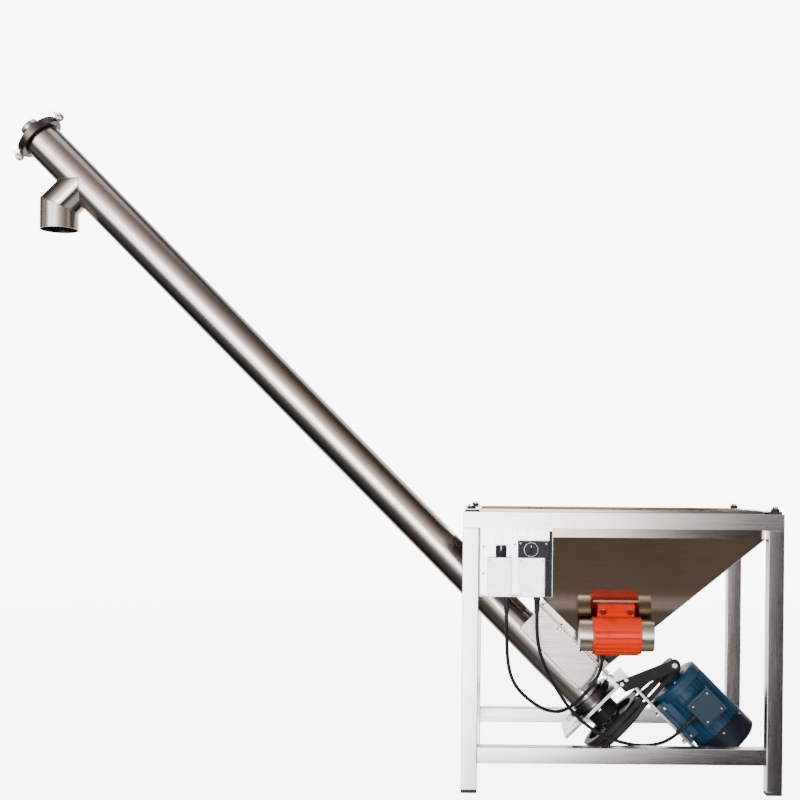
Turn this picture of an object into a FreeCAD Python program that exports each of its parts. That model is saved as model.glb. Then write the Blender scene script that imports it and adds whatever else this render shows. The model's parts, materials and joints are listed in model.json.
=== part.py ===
import FreeCAD, Part
import math
import os
import re
from FreeCAD import Placement, Rotation, Vector
import Sketcher

# Inclined screw conveyor with a hopper on a square tube frame.
# Row frame: +X to the right seen from the controls, +Y away, +Z up, floor at Z = 0.
# Pieces of the frame are drawn about the frame's middle. Pieces of the conveyor are drawn in the
# tube's own frame: x up and square to the tube, y as the row's, z up along the tube, with the
# drive plate's upper face at z = 0.

SIZES = {
    # Used throughout: how far a cut runs past its piece and a pad into its own, and a bolt's shares
    "overcut": 1, "bite": 2, "head_share": 1.8, "head_rise": 1.3, "nut_rise": 1.7, "thread_past": 3,
    # Frame of square tube
    "frame_width": 800, "frame_depth": 620, "frame_height": 700,
    "bar_side": 40, "bar_wall": 1.5, "low_rail_height": 75,
    "foot_height": 8, "foot_plug": 18,
    # Hopper
    "sheet": 2, "skirt_depth": 63, "skirt_gap": 1, "rim_width": 37, "rim_short": 6,
    "cushion": 5, "strip_width": 30, "buffer_radius": 11, "buffer_height": 7,
    "corner_inset": 20, "rim_bolt_radius": 4, "rim_bolt_length": 30, "bolt_play": 0.5,
    # Conveyor tube
    "incline": 45, "drive_height": 182, "neck_length": 18,
    "pipe_radius": 51, "pipe_wall": 2, "conveyor_length": 2150,
    "mouth_low": 50, "mouth_high": 286, "box_rise": 80,
    "flange_thick": 3, "gasket": 2, "flange_lip": 20, "flange_bolt_radius": 3, "flange_bolts": 4,
    "spout_place": 1979, "spout_drop": 93, "spout_length": 65, "spout_step": 1,
    # Clamped ends
    "rim_radius": 59.5, "rim_thick": 6, "hub_length": 12,
    "clamp_radius": 66, "clamp_lip": 3, "clamp_gap": 0.5, "split_gap": 2,
    "lug_reach": 86, "lug_half": 6, "lug_thick": 9, "clamp_bolt_radius": 4, "clamp_bolt_length": 44,
    "wing_hub": 7, "wing_span": 26, "wing_thick": 4, "wing_height": 9,
    # Screw
    "shaft_radius": 19, "flight_clearance": 1, "flight_pitch": 100, "flight_thick": 3,
    "flight_start": 22, "flight_turns": 20, "low_journal": 15, "top_journal": 10,
    "journal_length": 108, "bearing_play": 0.05, "shaft_play": 0.5, "shaft_gap": 2,
    # Lower bearing and plates
    "plate": 8, "plate_low": 115, "plate_high": 114, "plate_half": 95,
    "motor_plate_half": 90, "motor_plate_length": 277,
    "housing_radius": 42, "housing_flange": 56, "housing_flange_thick": 10, "housing_length": 50,
    "low_bearing_radius": 31, "low_bearing_width": 16, "seal_radius": 22, "housing_bolt_ring": 49,
    "seal_lip": 3, "bearing_shelf": 2, "bolt_floor": 2,
    # Upper bearing
    "top_bearing_radius": 21, "top_bearing_width": 12, "boss_radius": 26, "boss_length": 18,
    "cap_thick": 4, "cap_spigot": 2,
    # Belt drive
    "pulley_middle": 83, "pulley_width": 38, "large_belt_radius": 96, "small_belt_radius": 40,
    "belt_top": 13, "belt_bottom": 7.5, "belt_height": 8, "belt_gap": 0.4, "belt_spacing": 17,
    "pulley_lip": 1, "groove_depth": 1.5, "pulley_rim": 9, "pulley_web": 10, "large_hub": 28,
    "web_hole": 13, "web_holes": 5, "slot_half": 74, "slot_margin": 4,
    # Motor
    "motor_shaft_height": 80, "motor_shaft_radius": 9.5, "motor_face": 124, "motor_core": 67,
    "motor_radius": 75, "motor_body": 166, "fins": 28, "fin_thick": 3, "shield_thick": 16,
    "shield_boss": 30, "shield_boss_height": 4, "shield_ease": 8, "shield_slope": 6, "end_ring": 8,
    "fin_inset": 1, "cowl_ease": 8, "cowl_fit": 0.1, "cowl_slot_start": 24, "cowl_slot_end": 62,
    "cowl_slot_half": 3.5, "cowl_radius": 77, "cowl_length": 58,
    "cowl_wall": 1.5, "cowl_slots": 12, "fan_radius": 64, "fan_blades": 7, "fan_width": 22,
    "fan_start": 10, "fan_disc": 3, "fan_hub": 8, "blade_thick": 2, "shaft_past": 6,
    "foot_spread": 125, "foot_pitch": 100, "foot_pad": 10, "foot_width": 30, "foot_bolt_radius": 4,
    "foot_ahead": 12, "foot_behind": 14, "foot_rib": 40, "foot_rib_inside": 6,
    "foot_front": 13, "box_length": 78, "box_width": 74, "box_out": 124, "box_back": 60,
    "lid_thick": 6, "lid_inset": 5, "terminal_place": 202, "terminal_shift": 16,
    # Arm for the belt guard
    "arm_width": 32, "arm_thick": 10, "arm_low": 84, "arm_high": 226, "arm_reach": 66,
    "arm_bolt_radius": 3, "arm_bolt_grip": 14, "arm_bolt_near": 8, "arm_bolt_far": 24,
    "arm_root_up": 10, "arm_root_down": 18,
    # Vibrator
    "vib_shift": -4, "vib_height": 409, "pad_thick": 4, "pad_half_width": 60, "pad_half_height": 70,
    "vib_foot_half_width": 48, "vib_foot_half_height": 62, "vib_foot_thick": 10,
    "vib_axis": 54, "vib_radius": 48, "vib_bore": 38, "vib_half": 63,
    "vib_rib": 4, "vib_rib_width": 3, "vib_rib_inset": 6, "vib_neck_inset": 12,
    "vib_cap_radius": 41, "vib_cap_length": 33, "vib_cap_wall": 2.5,
    "vib_shaft": 8, "weight_radius": 34, "weight_thick": 18, "weight_gap": 4, "vib_end_wall": 7,
    "vib_bolt_across": 35, "vib_bolt_up": 50, "vib_bolt_radius": 5,
    # Controls
    "tray_width": 184, "tray_drop": 172, "tray_sheet": 1.5, "tray_depth": 36, "tray_gap": 0.5,
    "first_gland": 70, "second_gland": 146,
    "unit_width": 62, "wide_unit": 66, "unit_height": 96, "unit_left": 20, "unit_pitch": 79,
    "unit_depth": 30, "unit_ease": 3, "knob_shift": 4,
    "knob_radius": 13, "knob_height": 30, "knob_gap": 0.5, "knob_stem": 4, "knob_socket": 12,
    "switch_width": 78, "switch_height": 42, "switch_depth": 24, "handle_radius": 15,
    "handle_thick": 5, "handle_stem": 3, "handle_socket": 10, "handle_shift": 6,
    # Cables and their glands
    "cable_radius": 4.5, "gland_radius": 9, "gland_length": 18,
}

# Sizes that follow from the ones above
PLACES = {
    "leg_x": "frame_width / 2 - bar_side", "leg_y": "frame_depth / 2 - bar_side",
    "rail_under": "frame_height - bar_side",
    "skirt_x": "leg_x - skirt_gap", "skirt_y": "leg_y - skirt_gap",
    "skirt_low": "frame_height - skirt_depth", "rim_level": "frame_height + cushion",
    "pipe_bore": "pipe_radius - pipe_wall",
    "hopper_flange_level": "box_rise + gasket",
    "hopper_end": "box_rise + gasket + flange_thick",
    "wall_level": "hopper_end + neck_length",
    "drive_offset": "((skirt_low - drive_height) * cos(incline) - wall_level) / sin(incline) - skirt_x",
    "mouth_low_z": "drive_height + wall_level * cos(incline) + mouth_low * sin(incline)",
    "wall_run": "skirt_y - pipe_radius", "wall_drop": "skirt_low - mouth_low_z",
    "wall_tilt": "atan(wall_run / wall_drop) / 1deg",
    "vib_wall_y": "-(skirt_y - (skirt_low - vib_height) * wall_run / wall_drop)",
    "joint_stack": "2 * rim_thick + gasket",
    "lug_top": "gasket / 2 + lug_half",
    "reach_left": "drive_offset - lug_reach * sin(incline) - (conveyor_length + lug_top) * cos(incline)",
    "frame_x": "-(reach_left + frame_width / 2) / 2",
    "cover_base": "conveyor_length + gasket", "cover_top": "cover_base + rim_thick",
    "top_bearing_base": "cover_top + bearing_shelf", "boss_top": "cover_top + boss_length",
    "flight_radius": "pipe_bore - flight_clearance",
    "motor_axis": "plate_high + motor_shaft_height", "box_seat": "motor_radius + bite",
    "foot_first": "-motor_face - foot_front", "foot_near": "foot_first + foot_ahead",
    "foot_far": "foot_first - foot_pitch - foot_behind",
    "fan_top": "-motor_back - fan_start", "fan_end": "fan_top - fan_width",
    "switch_front": "tray_back - tray_sheet - switch_depth",
    "belt_flank": "(belt_top - belt_bottom) / 2 / belt_height",
    "shield_front": "motor_face - shield_thick", "motor_back": "motor_face + motor_body",
    "cowl_back": "motor_back + cowl_length",
    "low_bearing_one": "-(plate + bearing_shelf + low_bearing_width)",
    "housing_end": "-(plate + housing_length)",
    "tray_left": "-leg_x + tray_gap", "tray_back": "-leg_y", "tray_bottom": "rail_under - tray_drop",
    "unit_front": "tray_back - tray_sheet - unit_depth", "unit_base": "tray_bottom + tray_sheet",
    "unit_top": "unit_base + unit_height", "switch_left": "tray_left + unit_left + unit_pitch - bite",
}

doc = FreeCAD.newDocument("conveyor")
nodes = []


def fill_sheet(name, cells, formulas):
    """A spreadsheet with one named value in each row."""
    sheet = doc.addObject("Spreadsheet::Sheet", name)
    for row, (alias, value) in enumerate(cells.items(), 1):
        sheet.set("A%d" % row, alias)
        sheet.set("B%d" % row, "=" + bound(value) if formulas else str(value))
        sheet.setAlias("B%d" % row, alias)
        if formulas:
            doc.recompute()
    doc.recompute()
    return sheet


def bound(text):
    """The expression with each named size written as a reference to its sheet."""
    def point(match):
        word = match.group()
        return "Sizes." + word if word in SIZES else "Places." + word if word in PLACES else word
    return re.sub(r"[a-z][a-z_]+", point, str(text))


sizes = fill_sheet("Sizes", SIZES, False)
fill_sheet("Places", PLACES, True)


def size(text):
    """The value of an expression in millimetres or degrees."""
    value = sizes.evalExpression(bound(text))
    return float(getattr(value, "Value", value))


def bind(piece, **terms):
    """Ties properties to expressions; a double underscore stands for a point in the name."""
    for name, text in terms.items():
        piece.setExpression(name.replace("__", "."), bound(text))
    return piece


def keep(piece, label):
    """Names a finished sub-part and lists it for export."""
    piece.Label = label
    nodes.append(piece)
    return piece


def on_frame(piece, label, x="0", y="0", z="0"):
    """A sub-part drawn about the middle of the frame."""
    bind(piece, Placement__Base__x="frame_x + (%s)" % x, Placement__Base__y=y, Placement__Base__z=z)
    return keep(piece, label)


def on_tube(piece, label, across="0", along="0"):
    """A sub-part drawn in the conveyor tube's own frame."""
    piece.Placement = Placement(Vector(), Rotation(Vector(0, 1, 0), -45))
    x = "frame_x + drive_offset + (%s) * sin(incline) - (%s) * cos(incline)"
    z = "drive_height + (%s) * cos(incline) + (%s) * sin(incline)"
    bind(piece, Placement__Rotation__Angle="incline - 90",
         Placement__Base__x=x % (across, along), Placement__Base__z=z % (across, along))
    return keep(piece, label)


def on_wall(piece, label):
    """A sub-part drawn on the hopper's front wall: x as the row's, y up the wall, z out of it."""
    piece.Placement = Placement(Vector(), Rotation(Vector(1, 0, 0), 120))
    bind(piece, Placement__Rotation__Angle="90 + wall_tilt",
         Placement__Base__x="frame_x + vib_shift", Placement__Base__y="vib_wall_y",
         Placement__Base__z="vib_height")
    return keep(piece, label)


AXES = {"x": Rotation(Vector(0, 1, 0), 90), "y": Rotation(Vector(1, 0, 0), -90), "z": Rotation()}


def put(piece, x, y, z, axis="z"):
    """Places a primitive in the drawing frame of its sub-part."""
    piece.Placement = Placement(Vector(), AXES[axis])
    return bind(piece, Placement__Base__x=x, Placement__Base__y=y, Placement__Base__z=z)


def box(x, y, z, length, width, height):
    """A block from its lowest corner."""
    piece = doc.addObject("Part::Box", "block")
    return put(bind(piece, Length=length, Width=width, Height=height), x, y, z)


def rod(radius, height, x="0", y="0", z="0", axis="z"):
    """A round bar that starts at a point and runs along an axis."""
    piece = doc.addObject("Part::Cylinder", "bar")
    return put(bind(piece, Radius=radius, Height=height), x, y, z, axis)


def hexagon(radius, height, x="0", y="0", z="0", axis="z"):
    """A hexagonal bolt head or nut."""
    piece = doc.addObject("Part::Prism", "hexagon")
    return put(bind(piece, Circumradius=radius, Height=height), x, y, z, axis)


def bolt_head(radius, x="0", y="0", z="0", axis="z"):
    return hexagon("head_share * %s" % radius, "head_rise * %s" % radius, x, y, z, axis)


def bolt_nut(radius, x="0", y="0", z="0", axis="z"):
    return hexagon("head_share * %s" % radius, "nut_rise * %s" % radius, x, y, z, axis)


def fuse(*parts):
    piece = doc.addObject("Part::MultiFuse", "joined")
    piece.Shapes = list(parts)
    return piece


def cut(base, *tools):
    piece = doc.addObject("Part::Cut", "trimmed")
    piece.Base = base
    piece.Tool = tools[0] if len(tools) == 1 else fuse(*tools)
    return piece


def group(parts):
    piece = doc.addObject("Part::Compound", "set")
    piece.Links = list(parts)
    return piece


def new_body(name):
    return doc.addObject("PartDesign::Body", name)


def sketch(body, plane, loops, lift="0"):
    """A sketch on an origin plane. A loop is a list of points, or a circle as (x, y, radius)."""
    piece = body.newObject("Sketcher::SketchObject", "outline")
    support = next(item for item in body.Origin.OriginFeatures if item.Role == plane + "_Plane")
    piece.AttachmentSupport = (support, "")
    piece.MapMode = "FlatFace"
    bind(piece, AttachmentOffset__Base__z=lift)

    def hold(kind, geometry, end, text):
        index = piece.addConstraint(Sketcher.Constraint(kind, -1, 1, geometry, end, size(text)))
        piece.setExpression("Constraints[%d]" % index, bound(text))

    for loop in loops:
        first = piece.GeometryCount
        if isinstance(loop, tuple):
            x, y, radius = loop
            round_edge = Part.Circle(Vector(size(x), size(y), 0), Vector(0, 0, 1), size(radius))
            piece.addGeometry(round_edge)
            index = piece.addConstraint(Sketcher.Constraint("Radius", first, size(radius)))
            piece.setExpression("Constraints[%d]" % index, bound(radius))
            hold("DistanceX", first, 3, x)
            hold("DistanceY", first, 3, y)
            continue
        corners = [Vector(size(x), size(y), 0) for x, y in loop]
        for index, corner in enumerate(corners):
            piece.addGeometry(Part.LineSegment(corner, corners[(index + 1) % len(corners)]))
        for index, (x, y) in enumerate(loop):
            after = first + (index + 1) % len(loop)
            piece.addConstraint(Sketcher.Constraint("Coincident", first + index, 2, after, 1))
            hold("DistanceX", first + index, 1, x)
            hold("DistanceY", first + index, 1, y)
    return piece


def oblong(x_low, x_high, y_low, y_high):
    return [(x_low, y_low), (x_high, y_low), (x_high, y_high), (x_low, y_high)]


def pad(body, plane, loops, length, lift="0", both=False):
    feature = body.newObject("PartDesign::Pad", "pad")
    feature.Profile = sketch(body, plane, loops, lift)
    feature.SideType = "Symmetric" if both else "One side"
    return bind(feature, Length=length)


def pocket(body, plane, loops, length, lift="0", both=False, forward=False):
    feature = body.newObject("PartDesign::Pocket", "pocket")
    feature.Profile = sketch(body, plane, loops, lift)
    feature.SideType = "Symmetric" if both else "One side"
    feature.Reversed = forward
    return bind(feature, Length=length)


def turn(body, outline):
    """A revolution about the body's z axis; the outline is radius and height."""
    feature = body.newObject("PartDesign::Revolution", "turned")
    feature.Profile = sketch(body, "XZ", [outline])
    feature.ReferenceAxis = (feature.Profile[0], ["V_Axis"])
    feature.Angle = 360
    return feature


def turned(name, outline):
    body = new_body(name)
    turn(body, outline)
    return body


def around(body, feature, count):
    """Copies a feature round the body's z axis."""
    doc.recompute()
    pattern = body.newObject("PartDesign::PolarPattern", "ring")
    pattern.Originals = [feature]
    axis = next(item for item in body.Origin.OriginFeatures if item.Role == "Z_Axis")
    pattern.Axis = (axis, [""])
    pattern.Angle = 360
    bind(pattern, Occurrences=count)
    body.Tip = pattern
    return pattern


# The frame: mitred top rails on four legs, with a low rail front and back

def top_rail(label, half, inner, turn_x, place):
    """A square tube with both ends mitred, drawn along x with its outer face at y = 0."""
    body = new_body(label)
    pad(body, "XY", [[("-" + half, "0"), (half, "0"), (inner, "bar_side"), ("-" + inner, "bar_side")]],
        "bar_side")
    pocket(body, "YZ", [oblong("bar_wall", "bar_side - bar_wall", "bar_wall", "bar_side - bar_wall")],
           "4 * " + half, both=True)
    for side in ("-", ""):
        hole = (side + "(%s - corner_inset)" % half, "corner_inset", "rim_bolt_radius + bolt_play")
        pocket(body, "XY", [hole], "bar_wall + overcut", lift="bar_side - bar_wall - overcut", forward=True)
    body.Placement = Placement(Vector(), Rotation(Vector(0, 0, 1), turn_x))
    return on_frame(body, label, *place)


half_x, half_y = "frame_width / 2", "frame_depth / 2"
top_rail("top_rail_front", "(%s)" % half_x, "leg_x", 0, ("0", "-frame_depth / 2", "rail_under"))
top_rail("top_rail_back", "(%s)" % half_x, "leg_x", 180, ("0", "frame_depth / 2", "rail_under"))
top_rail("top_rail_left", "(%s)" % half_y, "leg_y", -90, ("-frame_width / 2", "0", "rail_under"))
top_rail("top_rail_right", "(%s)" % half_y, "leg_y", 90, ("frame_width / 2", "0", "rail_under"))

for side, sign_x in (("left", "-"), ("right", "")):
    for end, sign_y in (("front", "-"), ("back", "")):
        leg = new_body("leg")
        pad(leg, "XY", [oblong("-bar_side / 2", "bar_side / 2", "-bar_side / 2", "bar_side / 2"),
                        oblong("-bar_side / 2 + bar_wall", "bar_side / 2 - bar_wall",
                               "-bar_side / 2 + bar_wall", "bar_side / 2 - bar_wall")],
            "rail_under - foot_height", lift="foot_height")
        on_frame(leg, "leg_%s_%s" % (end, side), "%s(leg_x + bar_side / 2)" % sign_x,
                 "%s(leg_y + bar_side / 2)" % sign_y)

caps = []
for sign_x in ("-", ""):
    for sign_y in ("-", ""):
        x, y = "%s(leg_x + bar_side / 2)" % sign_x, "%s(leg_y + bar_side / 2)" % sign_y
        sole = box("%s - bar_side / 2" % x, "%s - bar_side / 2" % y, "0",
                   "bar_side", "bar_side", "foot_height")
        plug = box("%s - bar_side / 2 + bar_wall" % x, "%s - bar_side / 2 + bar_wall" % y, "foot_height",
                   "bar_side - 2 * bar_wall", "bar_side - 2 * bar_wall", "foot_plug")
        caps.append(fuse(sole, plug))
on_frame(group(caps), "foot_caps")

for end, y in (("front", "-frame_depth / 2"), ("back", "leg_y")):
    rail = new_body("low_rail")
    pad(rail, "YZ", [oblong(y, "%s + bar_side" % y, "low_rail_height", "low_rail_height + bar_side"),
                     oblong("%s + bar_wall" % y, "%s + bar_side - bar_wall" % y,
                            "low_rail_height + bar_wall", "low_rail_height + bar_side - bar_wall")],
        "2 * leg_x", both=True)
    on_frame(rail, "lower_rail_" + end)


# The hopper: a skirt inside the rails, four folded walls, a rim each side and a pad for the vibrator

def solid_of(faces):
    """A solid from the corner lists of its flat faces."""
    solid = Part.Solid(Part.makeShell([Part.Face(Part.makePolygon(face + face[:1])) for face in faces]))
    return solid if solid.Volume > 0 else solid.reversed()


def tube_point(across, y, along):
    """A point of the tube's frame, seen from the middle of the frame."""
    tilt = math.radians(size("incline"))
    return Vector(size("drive_offset") + across * math.sin(tilt) - along * math.cos(tilt), y,
                  size("drive_height") + across * math.cos(tilt) + along * math.sin(tilt))


def funnel_corners(inset):
    """The corners of the funnel and its neck, on the outside of the sheets or the inset further in.

    The left wall is parallel to the tube and holds the mouth. The first sign tells left from right,
    or the mouth's upper end from its lower; the second tells front from back.
    """
    x, y, z = size("skirt_x") - inset, size("skirt_y") - inset, size("skirt_low")
    left = size("skirt_x") - inset / math.sin(math.radians(size("incline")))
    half, level = size("pipe_radius") - inset, size("wall_level") + inset
    low, high = size("mouth_low") + inset, size("mouth_high") - inset
    corners = {}
    for i in (-1, 1):
        for j in (-1, 1):
            corners["top", i, j] = Vector(x if i > 0 else -left, j * y, z)
            corners["mouth", i, j] = tube_point(level, j * half, low if i > 0 else high)
            corners["foot", i, j] = tube_point(size("hopper_end"), j * half, low if i > 0 else high)
    return corners


def sheet_between(outer, inner):
    """A sheet between two matching outlines; its edges are mitred to meet the next sheet's."""
    faces = [outer, inner[::-1]]
    for index in range(len(outer)):
        ends = sorted((index, (index + 1) % len(outer)), key=lambda end: tuple(outer[end]))
        near, far = ends
        faces.append([outer[near], outer[far], inner[far]])
        faces.append([outer[near], inner[far], inner[near]])
    return solid_of(faces)


def block(x_low, x_high, y_low, y_high, z_low, z_high):
    return Part.makeBox(x_high - x_low, y_high - y_low, z_high - z_low, Vector(x_low, y_low, z_low))


def make_hopper():
    """Flat sheets welded edge to edge, each one a solid."""
    x, y, sheet = size("skirt_x"), size("skirt_y"), size("sheet")
    low, rim = size("skirt_low"), size("rim_level")
    top = rim + sheet
    sheets = [block(-x, -x + sheet, -y, y, low, top), block(x - sheet, x, -y, y, low, top),
              block(-x + sheet, x - sheet, -y, -y + sheet, low, top),
              block(-x + sheet, x - sheet, y - sheet, y, low, top)]

    outlines = [[("top", i, -1), ("top", i, 1), ("mouth", i, 1), ("mouth", i, -1)] for i in (-1, 1)]
    for j in (-1, 1):
        outlines.append([("top", -1, j), ("top", 1, j), ("mouth", 1, j)])
        outlines.append([("top", -1, j), ("mouth", 1, j), ("mouth", -1, j)])
    ring = [(-1, -1), (1, -1), (1, 1), (-1, 1)]
    for first, second in zip(ring, ring[1:] + ring[:1]):
        outlines.append([("mouth", *first), ("mouth", *second), ("foot", *second), ("foot", *first)])
    outside, inside = funnel_corners(0), funnel_corners(sheet)
    sheets += [sheet_between([outside[key] for key in outline], [inside[key] for key in outline])
               for outline in outlines]

    side_y = size("frame_depth / 2 - rim_short")
    for side in (-1, 1):
        ends = sorted((side * x, side * (x + size("rim_width"))))
        strip = block(ends[0], ends[1], -side_y, side_y, rim, top)
        for end in (-1, 1):
            spot = Vector(side * size("frame_width / 2 - corner_inset"),
                          end * size("frame_depth / 2 - corner_inset"), rim)
            strip = strip.cut(Part.makeCylinder(size("rim_bolt_radius + bolt_play"), sheet, spot))
        sheets.append(strip)
    wide, high = size("pad_half_width"), size("pad_half_height")
    plate = block(-wide, wide, -high, high, 0, size("pad_thick"))
    plate.Placement = Placement(
        Vector(size("vib_shift"), size("vib_wall_y"), size("vib_height")),
        Rotation(Vector(1, 0, 0), 90 + size("wall_tilt")))
    return Part.makeCompound(sheets + [plate])


hopper = doc.addObject("Part::Feature", "hopper")
hopper.Shape = make_hopper()
on_frame(hopper, "hopper")

cushions = []
rim_bolts = []
for sign_x in ("-", ""):
    x = "%s(frame_width / 2 - corner_inset)" % sign_x
    strip = box("%s - strip_width / 2" % x, "-frame_depth / 2 + rim_short", "frame_height",
                "strip_width", "frame_depth - 2 * rim_short", "cushion")
    for sign_y in ("-", ""):
        y = "%s(frame_depth / 2 - corner_inset)" % sign_y
        strip = cut(strip, rod("rim_bolt_radius + bolt_play", "cushion", x, y, "frame_height"))
        top = "rim_level + sheet"
        buffer = rod("buffer_radius", "buffer_height", x, y, top)
        cushions.append(cut(buffer, rod("rim_bolt_radius + bolt_play", "buffer_height", x, y, top)))
        head = "rim_level + sheet + buffer_height"
        rim_bolts.append(fuse(bolt_head("rim_bolt_radius", x, y, head),
                              rod("rim_bolt_radius", "rim_bolt_length", x, y, head + " - rim_bolt_length")))
    cushions.append(strip)
on_frame(group(cushions), "hopper_cushions")
on_frame(group(rim_bolts), "corner_bolts")


# The inlet: two flanges with a gasket between them, and a box that opens into the tube

BOLT_Y = "pipe_radius + flange_lip / 2"
BOLT_LOW = "mouth_low - flange_lip / 2"
BOLT_SPAN = "mouth_high - mouth_low + flange_lip"


def axis_of(body, role):
    return (next(item for item in body.Origin.OriginFeatures if item.Role == role), [""])


def flange(label, low, high, half, level, thick):
    """A flat ring on the mouth with a row of bolt holes along each long side."""
    body = new_body(label)
    pad(body, "YZ",
        [oblong("-pipe_radius - flange_lip", "pipe_radius + flange_lip",
                "mouth_low - flange_lip", "mouth_high + flange_lip"),
         oblong("-(%s)" % half, half, low, high)], thick, lift=level)
    hole = pocket(body, "YZ", [("-(%s)" % BOLT_Y, BOLT_LOW, "flange_bolt_radius + bolt_play"),
                               (BOLT_Y, BOLT_LOW, "flange_bolt_radius + bolt_play")],
                  thick, lift=level, forward=True)
    doc.recompute()
    row = body.newObject("PartDesign::LinearPattern", "row")
    row.Originals = [hole]
    row.Direction = axis_of(body, "Z_Axis")
    bind(row, Length=BOLT_SPAN, Occurrences="flange_bolts")
    body.Tip = row
    return on_tube(body, label)


flange("inlet_flange", "mouth_low", "mouth_high", "pipe_radius", "box_rise - flange_thick", "flange_thick")
flange("hopper_flange", "mouth_low + pipe_wall", "mouth_high - pipe_wall", "pipe_bore",
       "hopper_flange_level", "flange_thick")

inlet_box = cut(box("0", "-pipe_radius", "mouth_low", "box_rise", "2 * pipe_radius",
                    "mouth_high - mouth_low"),
                box("-overcut", "-pipe_bore", "mouth_low + pipe_wall", "box_rise + 2 * overcut",
                    "2 * pipe_bore", "mouth_high - mouth_low - 2 * pipe_wall"),
                rod("pipe_radius", "pipe_wall", z="mouth_low"),
                rod("pipe_radius", "pipe_wall", z="mouth_high - pipe_wall"))
on_tube(inlet_box, "inlet_box")

mouth_bolts = []
for sign in ("-", ""):
    for step in range(SIZES["flange_bolts"]):
        y = "%s(%s)" % (sign, BOLT_Y)
        z = "%s + %d * (%s) / (flange_bolts - 1)" % (BOLT_LOW, step, BOLT_SPAN)
        nut = "box_rise - flange_thick - nut_rise * flange_bolt_radius"
        mouth_bolts.append(fuse(
            bolt_head("flange_bolt_radius", "hopper_end", y, z, "x"),
            rod("flange_bolt_radius", "hopper_end - (%s) + thread_past" % nut, nut + " - thread_past",
                y, z, "x"),
            bolt_nut("flange_bolt_radius", nut, y, z, "x")))
on_tube(group(mouth_bolts), "flange_bolts")


# The tube with its ferrules, the spout and the upper cover

pipe = new_body("conveyor_tube")
pad(pipe, "XY", [("0", "0", "pipe_radius"), ("0", "0", "pipe_bore")],
    "conveyor_length - 3 * hub_length - gasket", lift="2 * hub_length + gasket")
pocket(pipe, "XZ", [oblong("0", "pipe_radius + overcut", "mouth_low + pipe_wall",
                           "mouth_high - pipe_wall")], "2 * (pipe_radius + overcut)", both=True)
pocket(pipe, "YZ", [("0", "spout_place", "pipe_bore - spout_step")], "pipe_radius + overcut")
on_tube(pipe, "conveyor_tube")


def ferrule(start, sign):
    """A clamping ferrule as an outline of radius and height, from its face towards the tube."""
    def at(distance):
        return "%s %s (%s)" % (start, sign, distance)
    return [("pipe_bore", at("0")), ("rim_radius", at("0")), ("rim_radius", at("rim_thick")),
            ("pipe_radius", at("rim_thick")), ("pipe_radius", at("hub_length")),
            ("pipe_bore", at("hub_length"))]


ends = [turned("lower_ferrule", ferrule("hub_length + gasket", "+")),
        turned("upper_ferrule", ferrule("conveyor_length", "-"))]
on_tube(group(ends), "tube_ferrules")


def make_spout():
    """A pipe square to the tube that a mitre turns straight down, trimmed to the tube's outside."""
    root = tube_point(0, 0, size("spout_place"))
    bend = tube_point(-size("spout_drop"), 0, size("spout_place"))
    mouth = bend - Vector(0, 0, size("spout_length"))
    path = Part.makePolygon([root, bend, mouth])
    pipes = []
    for radius in (size("pipe_radius"), size("pipe_bore")):
        ring = Part.Wire(Part.makeCircle(radius, root, bend - root))
        right_corner = 1
        pipes.append(path.makePipeShell([ring], True, False, right_corner))
    low, high = tube_point(0, 0, 0), tube_point(0, 0, size("conveyor_length"))
    trunk = Part.makeCylinder(size("pipe_radius"), size("conveyor_length"), low, high - low)
    bent = pipes[0].cut(pipes[1]).cut(trunk)
    reach = 4 * size("pipe_radius + spout_length")
    below = Part.makeBox(reach, reach, reach, Vector(-reach / 2, -reach / 2, 0))
    down = (bend - root).normalize() + Vector(0, 0, -1)
    below.Placement = Placement(bend, Rotation(Vector(0, 0, 1), down))
    return Part.makeCompound([bent.cut(below), bent.common(below)])


spout = doc.addObject("Part::Feature", "spout")
spout.Shape = make_spout()
on_frame(spout, "discharge_spout")

cover = new_body("end_cover")
turn(cover, [("top_journal + shaft_play", "cover_base"), ("rim_radius", "cover_base"),
             ("rim_radius", "cover_top"), ("boss_radius", "cover_top"), ("boss_radius", "boss_top"),
             ("top_bearing_radius", "boss_top"), ("top_bearing_radius", "top_bearing_base"),
             ("top_journal + shaft_play", "top_bearing_base")])
on_tube(cover, "end_cover")
on_tube(turned("cap", [("0", "boss_top + cap_thick"), ("boss_radius", "boss_top + cap_thick"),
                       ("boss_radius", "boss_top"), ("top_bearing_radius", "boss_top"),
                       ("top_bearing_radius", "boss_top - cap_spigot"), ("0", "boss_top - cap_spigot")]),
        "bearing_cap")


def bearing(bore, outside, base, width):
    """A bearing as one ring with a groove between its races on each face."""
    dish = "(%s) / 8" % width
    mid_in, mid_out = "(2 * (%s) + (%s)) / 3" % (bore, outside), "((%s) + 2 * (%s)) / 3" % (bore, outside)
    top = "%s + %s" % (base, width)
    low, high = "%s + %s" % (base, dish), "%s - %s" % (top, dish)
    return turned("bearing", [(bore, base), (mid_in, base), (mid_in, low), (mid_out, low), (mid_out, base),
                              (outside, base), (outside, top), (mid_out, top), (mid_out, high),
                              (mid_in, high), (mid_in, top), (bore, top)])


on_tube(bearing("top_journal + bearing_play", "top_bearing_radius", "top_bearing_base",
                "top_bearing_width"), "top_bearing")
on_tube(group(bearing("low_journal + bearing_play", "low_bearing_radius", base, "low_bearing_width")
              for base in ("low_bearing_one", "housing_end + bearing_shelf")), "lower_bearings")

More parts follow.
